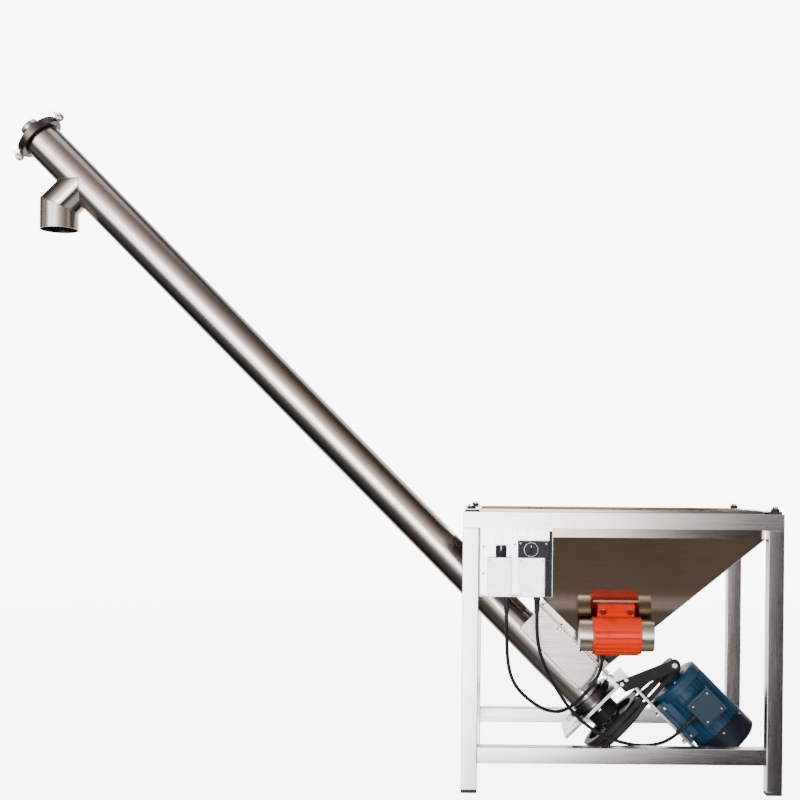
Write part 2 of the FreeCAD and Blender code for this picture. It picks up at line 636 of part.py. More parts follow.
rings = []
for base in ("hub_length", "conveyor_length"):
    rings.append(turned("gasket", [("pipe_bore", base), ("rim_radius", base),
                                   ("rim_radius", base + " + gasket"), ("pipe_bore", base + " + gasket")]))
mouth_gasket = cut(box("box_rise", "-pipe_radius - flange_lip", "mouth_low - flange_lip", "gasket",
                       "2 * (pipe_radius + flange_lip)", "mouth_high - mouth_low + 2 * flange_lip"),
                   box("box_rise", "-pipe_bore", "mouth_low + pipe_wall", "gasket", "2 * pipe_bore",
                       "mouth_high - mouth_low - 2 * pipe_wall"),
                   *[rod("flange_bolt_radius + bolt_play", "gasket", "box_rise", "%s(%s)" % (sign, BOLT_Y),
                         "%s + %d * (%s) / (flange_bolts - 1)" % (BOLT_LOW, step, BOLT_SPAN), "x")
                     for sign in ("-", "") for step in range(SIZES["flange_bolts"])])
on_tube(group(rings + [mouth_gasket]), "joint_gaskets")


# The two clamps: half rings round a pair of rims, with a swing bolt and wing nut at each split

def clamp_half(middle, back):
    """Half of a clamp; its middle lies in the gasket between the two rims."""
    half = "(joint_stack / 2)"
    groove = "rim_radius + clamp_gap"
    lip = "pipe_radius + clamp_gap + overcut"
    low, high = "%s - %s" % (middle, half), "%s + %s" % (middle, half)
    body = turned("clamp", [(lip, low + " - clamp_lip"), ("clamp_radius", low + " - clamp_lip"),
                            ("clamp_radius", high + " + clamp_lip"), (lip, high + " + clamp_lip"),
                            (lip, high), (groove, high), (groove, low), (lip, low)])
    under, over = middle + " - lug_half", middle + " + lug_half"
    pad(body, "XZ", [oblong("clamp_radius - bite", "lug_reach", under, over),
                     oblong("-lug_reach", "-clamp_radius + bite", under, over)],
        "2 * lug_thick + split_gap", both=True)
    near, far = ("-lug_reach", "split_gap / 2") if back else ("-split_gap / 2", "lug_reach")
    pocket(body, "XY", [oblong("-lug_reach - overcut", "lug_reach + overcut", near, far)],
           "2 * lug_reach", lift=middle + " - lug_reach", forward=True)
    pocket(body, "XZ", [("(clamp_radius + lug_reach) / 2", middle, "clamp_bolt_radius + bolt_play"),
                        ("-(clamp_radius + lug_reach) / 2", middle, "clamp_bolt_radius + bolt_play")],
           "4 * lug_thick", both=True)
    return body


LOW_JOINT, TOP_JOINT = "hub_length + gasket / 2", "conveyor_length + gasket / 2"
on_tube(group(clamp_half(middle, back) for middle in (LOW_JOINT, TOP_JOINT) for back in (False, True)),
        "clamp_halves")

clamp_bolts = []
for middle in (LOW_JOINT, TOP_JOINT):
    for sign in ("-", ""):
        x = "%s(clamp_radius + lug_reach) / 2" % sign
        face = "lug_thick + split_gap / 2"
        bar = rod("clamp_bolt_radius", "clamp_bolt_length", x, "%s + bite - clamp_bolt_length" % face,
                  middle, "y")
        hub = rod("head_share * clamp_bolt_radius", "wing_hub", x, "-(%s) - wing_hub" % face, middle, "y")
        wings = box("%s - wing_thick / 2" % x, "bite - (%s) - wing_hub - wing_height" % face,
                    middle + " - wing_span / 2", "wing_thick", "wing_height", "wing_span")
        clamp_bolts.append(fuse(bar, bolt_head("clamp_bolt_radius", x, face, middle, "y"), hub, wings))
on_tube(group(clamp_bolts), "clamp_bolts")


# The screw: a stepped shaft and a flight of flat facets wound round it

SHAFT_END = "top_bearing_base + top_bearing_width + overcut"
on_tube(turned("shaft", [("0", "-journal_length"), ("low_journal", "-journal_length"),
                         ("low_journal", "shaft_gap"), ("shaft_radius", "shaft_gap"),
                         ("shaft_radius", "conveyor_length - shaft_gap"),
                         ("top_journal", "conveyor_length - shaft_gap"),
                         ("top_journal", SHAFT_END), ("0", SHAFT_END)]), "screw_shaft")


def make_flight():
    """A helical band of constant thickness, in flat facets between its inner and outer edges."""
    steps = 14
    inner = size("shaft_radius") / math.cos(math.pi / steps)
    outer = size("flight_radius")
    pitch, thick, start = size("flight_pitch"), size("flight_thick"), size("flight_start")
    count = round(size("flight_turns") * steps)
    corners = []
    for step in range(count + 1):
        angle = 2 * math.pi * step / steps
        lift = start + pitch * step / steps
        spoke = Vector(math.cos(angle), math.sin(angle), 0)
        corners.append([spoke * radius + Vector(0, 0, height)
                        for radius, height in ((inner, lift), (outer, lift), (outer, lift + thick),
                                               (inner, lift + thick))])
    faces = [corners[0], corners[-1][::-1]]
    for near, far in zip(corners, corners[1:]):
        for side in range(4):
            after = (side + 1) % 4
            faces.append([near[side], far[side], near[after]])
            faces.append([near[after], far[side], far[after]])
    return solid_of(faces)


flight = doc.addObject("Part::Feature", "flight")
flight.Shape = make_flight()
on_tube(flight, "screw_flight")


# The drive plate with its ferrule, the motor plate square to it, and the lower bearing

ARM_BOLTS = ("arm_bolt_near", "arm_bolt_far")
drive = new_body("drive_plate")
pad(drive, "XY", [oblong("-plate_low", "plate_high", "-plate_half", "plate_half"),
                  ("0", "0", "seal_radius")], "plate", lift="-plate")
turn(drive, [("pipe_bore", "0"), ("pipe_radius", "0"), ("pipe_radius", "hub_length - rim_thick"),
             ("rim_radius", "hub_length - rim_thick"), ("rim_radius", "hub_length"),
             ("pipe_bore", "hub_length")])
hole = pocket(drive, "XY", [("housing_bolt_ring", "0", "foot_bolt_radius")], "plate - bolt_floor",
              lift="-plate", forward=True)
around(drive, hole, "4")
pocket(drive, "XZ", [("arm_low + %s" % step, "-plate / 2", "arm_bolt_radius") for step in ARM_BOLTS],
       "arm_bolt_grip", lift="plate_half")
on_tube(drive, "drive_plate")

motor_plate = new_body("motor_plate")
pad(motor_plate, "YZ", [oblong("-motor_plate_half", "motor_plate_half", "-plate - motor_plate_length",
                               "-plate")], "plate", lift="plate_high - plate")
pocket(motor_plate, "YZ",
       [oblong("-slot_half", "slot_half", "-pulley_middle - belt_spacing / 2 - belt_top / 2 - slot_margin",
               "-pulley_middle + belt_spacing / 2 + belt_top / 2 + slot_margin")],
       "plate", lift="plate_high")
FOOT_BOLTS = [("%sfoot_spread / 2" % sign, "foot_first - %s * foot_pitch" % step)
              for sign in ("-", "") for step in ("0", "1")]
pocket(motor_plate, "YZ", [(y, z, "foot_bolt_radius + bolt_play") for y, z in FOOT_BOLTS],
       "plate", lift="plate_high")
on_tube(motor_plate, "motor_plate")

housing = new_body("bearing_housing")
turn(housing, [("low_bearing_radius", "-plate"), ("housing_flange", "-plate"),
               ("housing_flange", "-plate - housing_flange_thick"),
               ("housing_radius", "-plate - housing_flange_thick"), ("housing_radius", "housing_end"),
               ("low_bearing_radius", "housing_end")])
hole = pocket(housing, "XY", [("housing_bolt_ring", "0", "foot_bolt_radius + bolt_play")],
              "housing_flange_thick", lift="-plate")
around(housing, hole, "4")
on_tube(housing, "bearing_housing")

on_tube(turned("seal", [("low_journal + bearing_play", "-plate"), ("seal_radius", "-plate"),
                        ("seal_radius", "0"), ("low_journal + seal_lip", "0"),
                        ("low_journal + seal_lip", "-plate / 2"),
                        ("low_journal + bearing_play", "-plate / 2")]), "shaft_seal")


# The belt drive: two grooved pulleys and two closed belts of wedge section

GROOVES = ("belt_spacing / 2", "-belt_spacing / 2")


def groove_points(radius):
    """Four points of each groove in the rim, from the upper side of the pulley to the lower."""
    points = []
    for shift in GROOVES:
        middle = "-pulley_middle + %s" % shift
        top, bottom = radius + " + pulley_lip", radius + " - belt_height - groove_depth"
        wide = "(belt_bottom / 2 + belt_gap + belt_flank * (belt_height + pulley_lip))"
        narrow = "(belt_bottom / 2 + belt_gap - belt_flank * groove_depth)"
        points += [(top, "%s + %s" % (middle, wide)), (bottom, "%s + %s" % (middle, narrow)),
                   (bottom, "%s - %s" % (middle, narrow)), (top, "%s - %s" % (middle, wide))]
    return points


HIGH_FACE, LOW_FACE = "-pulley_middle + pulley_width / 2", "-pulley_middle - pulley_width / 2"
rim_inside = "large_belt_radius - belt_height - groove_depth - pulley_rim"
WEB_HIGH, WEB_LOW = "-pulley_middle + pulley_web / 2", "-pulley_middle - pulley_web / 2"
large = turned("large_pulley",
               [("low_journal", HIGH_FACE), ("large_hub", HIGH_FACE), ("large_hub", WEB_HIGH),
                (rim_inside, WEB_HIGH), (rim_inside, HIGH_FACE),
                ("large_belt_radius + pulley_lip", HIGH_FACE)]
               + groove_points("large_belt_radius")
               + [("large_belt_radius + pulley_lip", LOW_FACE), (rim_inside, LOW_FACE),
                  (rim_inside, WEB_LOW), ("large_hub", WEB_LOW), ("large_hub", LOW_FACE),
                  ("low_journal", LOW_FACE)])
hole = pocket(large, "XY", [("(large_hub + %s) / 2" % rim_inside, "0", "web_hole")],
              "pulley_web + 2 * overcut", lift=WEB_HIGH + " + overcut")
around(large, hole, "web_holes")
on_tube(large, "large_pulley")

small = turned("small_pulley",
               [("motor_shaft_radius", HIGH_FACE), ("small_belt_radius + pulley_lip", HIGH_FACE)]
               + groove_points("small_belt_radius")
               + [("small_belt_radius + pulley_lip", LOW_FACE), ("motor_shaft_radius", LOW_FACE)])
on_tube(small, "small_pulley", across="motor_axis")


def make_belt(shift):
    """A wedge section swept round both pulleys and along the two straight runs between them."""
    large_radius, small_radius = size("large_belt_radius"), size("small_belt_radius")
    centre = size("motor_axis")
    level = -size("pulley_middle") + size(shift)
    lean = math.asin((large_radius - small_radius) / centre)

    def spot(middle, radius, sign):
        return Vector(middle + radius * math.sin(lean), sign * radius * math.cos(lean), level)

    ends = {"start": spot(0, large_radius, -1), "far": Vector(-large_radius, 0, level),
            "stop": spot(0, large_radius, 1)}
    nose = {"start": spot(centre, small_radius, 1), "far": Vector(centre + small_radius, 0, level),
            "stop": spot(centre, small_radius, -1)}
    edges = [Part.LineSegment(nose["stop"], ends["start"]),
             Part.Arc(ends["start"], ends["far"], ends["stop"]),
             Part.LineSegment(ends["stop"], nose["start"]),
             Part.Arc(nose["start"], nose["far"], nose["stop"])]
    path = Part.Wire([edge.toShape() for edge in edges])
    outward = Vector(math.sin(lean), -math.cos(lean), 0)
    back, front, depth = size("belt_top") / 2, size("belt_bottom") / 2, size("belt_height")
    outline = [Vector(0, 0, back), Vector(0, 0, -back), outward * -depth + Vector(0, 0, -front),
               outward * -depth + Vector(0, 0, front)]
    section = Part.makePolygon([nose["stop"] + point for point in outline + outline[:1]])
    return path.makePipeShell([section], True, True)


belts = []
for shift in GROOVES:
    belt = doc.addObject("Part::Feature", "belt")
    belt.Shape = make_belt(shift)
    belts.append(belt)
on_tube(group(belts), "drive_belts")


# The motor: ribbed body on feet, end shield, shaft with fan, cowl and terminal box

BOX_LOW, BOX_HIGH = "terminal_shift - box_width / 2", "terminal_shift + box_width / 2"
BOX_NEAR, BOX_FAR = "-terminal_place + box_length / 2", "-terminal_place - box_length / 2"
motor = new_body("motor_housing")
turn(motor, [("motor_shaft_radius + shaft_gap", "-motor_face"), ("motor_radius", "-motor_face"),
             ("motor_radius", "foot_first"), ("motor_core", "foot_first"),
             ("motor_core", "-motor_back + end_ring"), ("motor_radius", "-motor_back + end_ring"),
             ("motor_radius", "-motor_back"), ("motor_shaft_radius + shaft_gap", "-motor_back")])
fin = pad(motor, "XY", [oblong("motor_core - bite", "motor_radius", "-fin_thick / 2", "fin_thick / 2")],
          "motor_body - 2 * fin_inset", lift="-motor_back + fin_inset")
around(motor, fin, "fins")
for sign in ("-", ""):
    inner = "%s(foot_spread / 2 - foot_width / 2 - foot_rib_inside)" % sign
    for outer, height, level in (
            ("%s(foot_spread / 2 + foot_width / 2)" % sign, "foot_pad", "-motor_shaft_height"),
            ("%s(foot_spread / 2 - foot_width / 2 + bite)" % sign, "foot_rib",
             "-motor_shaft_height + foot_pad")):
        pad(motor, "YZ", [[(outer, "foot_near"), (inner, "foot_near"), (inner, "foot_far"),
                           (outer, "foot_far")]], height, lift=level)
for y, z in FOOT_BOLTS:
    pocket(motor, "YZ", [(y, z, "foot_bolt_radius + bolt_play")], "foot_pad + overcut",
           lift="-motor_shaft_height + foot_pad + overcut")
pad(motor, "XZ", [oblong(BOX_LOW, BOX_HIGH, BOX_FAR, BOX_NEAR)], "box_seat - box_back", lift="box_back")
on_tube(motor, "motor_housing", across="motor_axis")

SHAFT_HOLE, SHIELD_FACE = "motor_shaft_radius + bearing_play", "-shield_front + shield_boss_height"
shield = turned("shield", [(SHAFT_HOLE, "-motor_face"), ("motor_radius", "-motor_face"),
                           ("motor_radius", "-shield_front - shield_slope"),
                           ("motor_radius - shield_ease", "-shield_front"), ("shield_boss", "-shield_front"),
                           ("shield_boss - shield_boss_height", SHIELD_FACE), (SHAFT_HOLE, SHIELD_FACE)])
on_tube(shield, "motor_front_shield", across="motor_axis")

COWL_INSIDE, COWL_FLOOR = "motor_radius + cowl_fit", "-cowl_back + cowl_wall"
cowl = turned("cowl", [(COWL_INSIDE, "-motor_back + end_ring"), ("cowl_radius", "-motor_back + end_ring"),
                       ("cowl_radius", "-cowl_back + cowl_ease"), ("cowl_radius - cowl_ease", "-cowl_back"),
                       ("0", "-cowl_back"), ("0", COWL_FLOOR),
                       ("cowl_radius - cowl_ease - cowl_wall / 2", COWL_FLOOR),
                       ("cowl_radius - cowl_wall", "-cowl_back + cowl_ease"),
                       ("cowl_radius - cowl_wall", "-motor_back"), (COWL_INSIDE, "-motor_back")])
slot = pocket(cowl, "XY", [oblong("cowl_slot_start", "cowl_slot_end", "-cowl_slot_half", "cowl_slot_half")],
              "cowl_wall + 2 * overcut", lift="-cowl_back - overcut", forward=True)
around(cowl, slot, "cowl_slots")
on_tube(cowl, "fan_cowl", across="motor_axis")

on_tube(turned("motor_shaft", [
    ("0", HIGH_FACE + " + shaft_gap"), ("motor_shaft_radius", HIGH_FACE + " + shaft_gap"),
    ("motor_shaft_radius", "fan_end - shaft_past"), ("0", "fan_end - shaft_past")]),
    "motor_shaft", across="motor_axis")

fan_hub = "motor_shaft_radius + fan_hub"
fan = turned("fan", [("motor_shaft_radius", "fan_top"), ("fan_radius", "fan_top"),
                     ("fan_radius", "fan_top - fan_disc"), (fan_hub, "fan_top - fan_disc"),
                     (fan_hub, "fan_end"), ("motor_shaft_radius", "fan_end")])
doc.recompute()
blade = pad(fan, "XY", [oblong(fan_hub + " - overcut", "fan_radius - bite", "-blade_thick / 2",
                               "blade_thick / 2")], "fan_width - fan_disc", lift="fan_end")
around(fan, blade, "fan_blades")
on_tube(fan, "cooling_fan", across="motor_axis")

terminal = new_body("terminal")
pad(terminal, "XZ", [oblong(BOX_LOW, BOX_HIGH, BOX_FAR, BOX_NEAR)], "box_out - lid_thick - box_seat",
    lift="box_seat")
on_tube(terminal, "terminal_box", across="motor_axis")
lid = new_body("lid")
pad(lid, "XZ", [oblong(BOX_LOW + " + lid_inset", BOX_HIGH + " - lid_inset", BOX_FAR + " + lid_inset",
                       BOX_NEAR + " - lid_inset")], "lid_thick", lift="box_out - lid_thick")
on_tube(lid, "terminal_lid", across="motor_axis")


# The arm for the belt guard, and the bolts of the drive

arm = new_body("arm")
pad(arm, "XZ", [[("arm_low", "arm_root_up"), ("arm_low", "-plate - arm_root_down"),
                 ("arm_high", "-arm_reach - arm_width / 2"), ("arm_high", "-arm_reach + arm_width / 2")]],
    "arm_thick", lift="plate_half")
pad(arm, "XZ", [("arm_high", "-arm_reach", "arm_width / 2")], "arm_thick", lift="plate_half")
pocket(arm, "XZ", [("arm_low + %s" % step, "-plate / 2", "arm_bolt_radius + bolt_play") for step in ARM_BOLTS]
       + [("arm_high", "-arm_reach", "foot_bolt_radius + bolt_play")],
       "arm_thick", lift="plate_half + arm_thick")
on_tube(arm, "guard_arm")

bolts = []
seat, nut = "-plate - housing_flange_thick", "nut_rise * foot_bolt_radius"
for x, y in (("housing_bolt_ring", "0"), ("-housing_bolt_ring", "0"),
             ("0", "housing_bolt_ring"), ("0", "-housing_bolt_ring")):
    bolts.append(fuse(bolt_head("foot_bolt_radius", x, y, seat + " - head_rise * foot_bolt_radius"),
                      rod("foot_bolt_radius", "housing_flange_thick + plate - bolt_floor - overcut",
                          x, y, seat)))
for y, z in FOOT_BOLTS:
    under = "plate_high - plate - " + nut
    bolts.append(fuse(
        bolt_head("foot_bolt_radius", "plate_high + foot_pad", y, z, "x"),
        rod("foot_bolt_radius", "foot_pad + plate + thread_past + " + nut, under + " - thread_past",
            y, z, "x"),
        bolt_nut("foot_bolt_radius", under, y, z, "x")))
face = "-plate_half - arm_thick"
for step in ARM_BOLTS:
    x = "arm_low + " + step
    bolts.append(fuse(
        bolt_head("arm_bolt_radius", x, face + " - head_rise * arm_bolt_radius", "-plate / 2", "y"),
        rod("arm_bolt_radius", "arm_thick + arm_bolt_grip - overcut", x, face, "-plate / 2", "y")))
bolts.append(fuse(
    bolt_head("foot_bolt_radius", "arm_high", face + " - head_rise * foot_bolt_radius", "-arm_reach", "y"),
    rod("foot_bolt_radius", "arm_thick + thread_past + " + nut, "arm_high", face, "-arm_reach", "y"),
    bolt_nut("foot_bolt_radius", "arm_high", "-plate_half", "-arm_reach", "y")))
on_tube(group(bolts), "drive_bolts")


# The vibrator: a ribbed body on a foot, a cap on each end, and a shaft with two eccentric weights

FOOT_TOP = "pad_thick + vib_foot_thick"
NECK_HALF = "vib_radius - vib_neck_inset"


def vib_rib(step):
    """A rib along the body at a quarter of its radius for each step."""
    return box("-vib_half + vib_rib_inset", "%d * vib_radius / 4 - vib_rib_width / 2" % step, "vib_axis",
               "2 * (vib_half - vib_rib_inset)", "vib_rib_width",
               "vib_radius * sqrt(1 - %d / 16) + vib_rib" % step ** 2)


VIB_BOLTS = [(x + "vib_bolt_across", y + "vib_bolt_up") for x in ("-", "") for y in ("-", "")]
shell = cut(fuse(rod("vib_radius", "2 * vib_half", "-vib_half", "0", "vib_axis", "x"),
                 box("-vib_foot_half_width", "-vib_foot_half_height", "pad_thick",
                     "2 * vib_foot_half_width", "2 * vib_foot_half_height", "vib_foot_thick"),
                 box("-vib_foot_half_width", "-(%s)" % NECK_HALF, FOOT_TOP, "2 * vib_foot_half_width",
                     "2 * (%s)" % NECK_HALF, "vib_axis - (%s)" % FOOT_TOP),
                 *[vib_rib(step) for step in range(-3, 4)]),
            rod("vib_bore", "2 * (vib_half - vib_end_wall)", "-vib_half + vib_end_wall", "0", "vib_axis", "x"),
            rod("vib_shaft + bearing_play", "2 * (vib_half + overcut)", "-vib_half - overcut", "0",
                "vib_axis", "x"),
            *[rod("vib_bolt_radius + bolt_play", "vib_foot_thick + 2 * overcut", x, y,
                  "pad_thick - overcut") for x, y in VIB_BOLTS])
on_wall(shell, "vibrator_body")


def end_rod(sign, radius, length, start):
    """A bar along x outside one end of the vibrator's body."""
    x = "vib_half + " + start if sign > 0 else "-vib_half - (%s) - (%s)" % (start, length)
    return rod(radius, length, x, "0", "vib_axis", "x")


vib_caps = []
rotor_half = "(vib_half + weight_thick + weight_gap + shaft_gap)"
rotor = [rod("vib_shaft", "2 * " + rotor_half, "-" + rotor_half, "0", "vib_axis", "x")]
for sign in (-1, 1):
    vib_caps.append(cut(end_rod(sign, "vib_cap_radius", "vib_cap_length", "0"),
                        end_rod(sign, "vib_cap_radius - vib_cap_wall",
                                "vib_cap_length - vib_cap_wall", "0")))
    side = "vib_half + weight_gap" if sign > 0 else "-vib_half - weight_gap - weight_thick"
    rotor.append(cut(end_rod(sign, "weight_radius", "weight_thick", "weight_gap"),
                     box(side, "-weight_radius", "vib_axis + vib_shaft / 2", "weight_thick",
                         "2 * weight_radius", "weight_radius")))
on_wall(group(vib_caps), "vibrator_caps")
on_wall(fuse(*rotor), "vibrator_rotor")
on_wall(group(fuse(bolt_head("vib_bolt_radius", x, y, FOOT_TOP),
                   rod("vib_bolt_radius", "vib_foot_thick", x, y, "pad_thick")) for x, y in VIB_BOLTS),
        "vibrator_bolts")


# The controls: a folded tray with two units, a knob on one and a switch on the other

GLANDS = ("tray_left + first_gland", "tray_left + second_gland")
tray = cut(box("tray_left", "tray_back - tray_depth", "tray_bottom", "tray_width", "tray_depth",
               "rail_under - tray_bottom"),
           box("tray_left + tray_sheet", "tray_back - tray_depth - overcut", "tray_bottom + tray_sheet",
               "tray_width - 2 * tray_sheet", "tray_depth + overcut - tray_sheet",
               "rail_under - tray_bottom"),
           *[rod("gland_radius / 2 + bite", "2 * tray_sheet", x, "tray_back - tray_depth / 2",
                 "tray_bottom - tray_sheet / 2") for x in GLANDS])
on_frame(tray, "control_tray")

UNIT_MID = "unit_front + unit_depth / 2"


def control_unit(left, width, *holes):
    """A box with eased upright edges and a shallow panel sunk in its face."""
    right, front, back = "%s + %s" % (left, width), "unit_front", "unit_front + unit_depth"
    body = new_body("unit")
    pad(body, "XY", [[(left + " + unit_ease", front), (right + " - unit_ease", front),
                      (right, front + " + unit_ease"), (right, back), (left, back),
                      (left, front + " + unit_ease")]], "unit_height", lift="unit_base")
    pocket(body, "XZ", [oblong(left + " + 3 * unit_ease", right + " - 3 * unit_ease",
                               "unit_base + 4 * unit_ease", "unit_top - 4 * unit_ease")],
           "unit_ease / 3", lift="-unit_front")
    for hole in holes:
        pocket(body, "XY", [hole], "knob_socket", lift="unit_top")
    return body


stem_x = "tray_left + unit_left + unit_width / 2 + knob_shift"
on_frame(control_unit("tray_left + unit_left", "unit_width",
                      (stem_x, UNIT_MID, "knob_stem + bearing_play")), "feed_controller")
on_frame(fuse(rod("knob_stem", "knob_socket - shaft_gap", stem_x, UNIT_MID,
                  "unit_top - knob_socket + shaft_gap + knob_gap"),
              rod("knob_radius", "knob_height", stem_x, UNIT_MID, "unit_top + knob_gap")), "speed_knob")
on_frame(control_unit("tray_left + unit_left + unit_pitch", "wide_unit"), "vibrator_controller")

handle_x, handle_z = "switch_left + switch_width / 2 - handle_shift", "unit_top + switch_height / 2"
on_frame(cut(box("switch_left", "switch_front", "unit_top", "switch_width", "switch_depth", "switch_height"),
             rod("handle_stem + bearing_play", "handle_socket", handle_x, "switch_front", handle_z, "y")),
         "switch_block")
on_frame(fuse(rod("handle_stem", "handle_socket - shaft_gap + knob_gap", handle_x,
                  "switch_front - knob_gap", handle_z, "y"),
              rod("handle_radius", "handle_thick", handle_x, "switch_front - knob_gap - handle_thick",
                  handle_z, "y")), "switch_handle")


# Glands and the two cables, which hang between the controls and the motors

def gland(base, direction):
    """A gland as a nut and a cone that ends where its cable starts."""
    direction = Vector(*direction)
    direction.normalize()
    base = Vector(*base)
    radius, length = size("gland_radius"), size("gland_length")
    nut = Part.makeCylinder(radius, 0.45 * length, base, direction)
    cone = Part.makeCone(0.85 * radius, size("cable_radius") + 1, 0.55 * length,
                         base + direction * 0.45 * length, direction)
    return nut.fuse(cone), base + direction * length, direction


def cable(points):
    """Straight runs joined by tangent arcs, each as large as its two runs allow."""
    points = [Vector(*point) for point in points]
    edges, start, radii = [], points[0], []
    for before, corner, after in zip(points, points[1:], points[2:]):
        into, out = corner - before, after - corner
        back = 0.45 * min(into.Length, out.Length)
        half_turn = into.getAngle(out) / 2
        radii.append(back / math.tan(half_turn))
        into.normalize()
        out.normalize()
        first, last = corner - into * back, corner + out * back
        bulge = (first + last) / 2 - corner
        bulge.normalize()
        middle = corner + bulge * radii[-1] * (1 / math.cos(half_turn) - 1)
        edges.append(Part.LineSegment(start, first).toShape())
        edges.append(Part.Arc(first, middle, last).toShape())
        start = last
    edges.append(Part.LineSegment(start, points[-1]).toShape())
    path = Part.Wire(edges)
    ring = Part.Wire(Part.makeCircle(size("cable_radius"), points[0], points[1] - points[0]))
    tube = path.makePipeShell([ring], True, True)
    expected = math.pi * size("cable_radius") ** 2 * path.Length
    print("cable %.0f mm, volume %.4f of expected, radii %s"
          % (path.Length, tube.Volume / expected, [round(radius) for radius in radii]))
    return tube


def feature_at(shape, name):
    piece = doc.addObject("Part::Feature", name)
    piece.Shape = shape
    return piece


tray_exit_y, tray_exit_z = size("tray_back - tray_depth / 2"), size("tray_bottom")
tilt, slope = math.radians(size("incline")), math.radians(size("wall_tilt"))
vib_down = Vector(0, math.sin(slope), -math.cos(slope))
vib_middle = Vector(size("vib_shift - 32"), size("vib_wall_y - vib_axis * cos(wall_tilt)"),
                    size("vib_height - vib_axis * sin(wall_tilt)"))
terminal_base = tube_point(size("motor_axis + terminal_shift - box_width / 2"),
                           -size("(motor_radius + 2 + box_out - lid_thick) / 2"), -size("terminal_place"))
glands = {
    "first_unit": gland((size(GLANDS[0]), tray_exit_y, tray_exit_z), (0, 0, -1)),
    "second_unit": gland((size(GLANDS[1]), tray_exit_y, tray_exit_z), (0, 0, -1)),
    "vibrator": gland(vib_middle + vib_down * size("vib_radius"), vib_down),
    "terminal": gland(terminal_base, (-math.sin(tilt), 0, -math.cos(tilt))),
}
on_frame(group(feature_at(entry[0], "gland") for entry in glands.values()), "cable_glands")



def hang(label, upper, lower, lead, route):
    """A cable between two glands, which leaves and enters them in a straight line."""
    start, (end, into) = glands[upper][1], glands[lower][1:]
    points = [start, start - Vector(0, 0, 46)] + route + [end + into * lead, end]
    on_frame(feature_at(cable(points), "cable"), label)


hang("vibrator_cable", "first_unit", "vibrator", 30,
     [(-288, -270, 368), (-284, -248, 308), (-268, -224, 258), (-232, -200, 217), (-187, -180, 186),
      (-146, -160, 178), (-112, -134, 192), (-82, -112, 216), (-58, -102, 242), (-42, -106, 270)])
hang("motor_cable", "second_unit", "terminal", 40,
     [(-211, -270, 379), (-202, -250, 337), (-184, -230, 292), (-158, -210, 245), (-131, -194, 202),
      (-97, -180, 163), (-54, -168, 129), (-4, -160, 105), (58, -153, 91), (112, -134, 92),
      (148, -112, 103)])

doc.recompute()
failed = [piece.Label for piece in doc.Objects if {"Invalid", "Error"} & set(piece.State)]
failed += [piece.Label for piece in nodes if piece.Shape.isNull() or not piece.Shape.isValid()]
if failed:
    raise RuntimeError("these pieces failed: " + ", ".join(failed))
os.makedirs("parts", exist_ok=True)
for piece in nodes:
    piece.Shape.exportStep(os.path.join("parts", piece.Label + ".step"))
print(len(nodes), "sub-parts written")
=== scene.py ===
import json
import math

import bmesh
import bpy
from mathutils import Matrix, Vector


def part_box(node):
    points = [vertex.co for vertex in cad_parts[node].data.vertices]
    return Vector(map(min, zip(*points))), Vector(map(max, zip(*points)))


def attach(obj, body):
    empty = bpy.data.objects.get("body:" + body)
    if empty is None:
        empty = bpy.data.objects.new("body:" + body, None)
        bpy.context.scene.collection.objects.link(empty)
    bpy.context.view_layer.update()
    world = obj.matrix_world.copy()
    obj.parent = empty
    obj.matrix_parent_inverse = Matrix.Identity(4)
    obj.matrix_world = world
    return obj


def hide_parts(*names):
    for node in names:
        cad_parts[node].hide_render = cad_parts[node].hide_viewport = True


# Looks of the inclined screw conveyor. Metres, row frame: +X right, +Y away, +Z up, floor at Z = 0.

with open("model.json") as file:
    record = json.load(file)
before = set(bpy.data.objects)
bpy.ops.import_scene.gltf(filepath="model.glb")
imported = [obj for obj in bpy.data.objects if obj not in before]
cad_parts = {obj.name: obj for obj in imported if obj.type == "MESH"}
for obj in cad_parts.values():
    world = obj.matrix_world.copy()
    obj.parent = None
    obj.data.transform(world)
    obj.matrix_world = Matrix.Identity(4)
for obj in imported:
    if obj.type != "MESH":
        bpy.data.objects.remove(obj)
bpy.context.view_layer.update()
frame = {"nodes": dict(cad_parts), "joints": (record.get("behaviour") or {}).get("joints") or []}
nodes = frame["nodes"]
scene = bpy.context.scene

MM = 0.001
ROOT = "frame"
UP, AWAY = Vector((0, 0, 1)), Vector((0, 1, 0))
FRONT = -AWAY
MIDDLE_X = (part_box("leg_front_left")[0].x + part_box("leg_front_right")[1].x) / 2

LEGS = ("leg_front_left", "leg_front_right", "leg_back_left", "leg_back_right")
SIDE_RAILS = ("top_rail_left", "top_rail_right")
LONG_RAILS = ("top_rail_front", "top_rail_back", "lower_rail_front", "lower_rail_back")
UNITS = ("feed_controller", "vibrator_controller")


# The camera stands in front of the frame, on the left of its middle, and is level but for a slight
# roll. Angles in degrees.

CAMERA_PLACE = (0.3052, -3.5939, 0.7622)
CAMERA_YAW, CAMERA_ROLL = 0.106, 0.5477
CAMERA_LENS, CAMERA_SHIFT = 59.4492, (-0.12, 0.1086)

camera_data = bpy.data.cameras.new("camera")
camera_data.lens = CAMERA_LENS
camera_data.shift_x, camera_data.shift_y = CAMERA_SHIFT
camera = bpy.data.objects.new("camera", camera_data)
camera.location = CAMERA_PLACE
heading = Matrix.Rotation(math.radians(CAMERA_YAW), 4, "Z")
level = Matrix.Rotation(math.radians(90), 4, "X")
roll = Matrix.Rotation(math.radians(CAMERA_ROLL), 4, "Z")
camera.rotation_euler = (heading @ level @ roll).to_euler()
scene.collection.objects.link(camera)
scene.camera = camera


# The two cables, from the glands under the control units to the vibrator and to the motor's
# terminal box. Their points are measured from the middle of the frame.

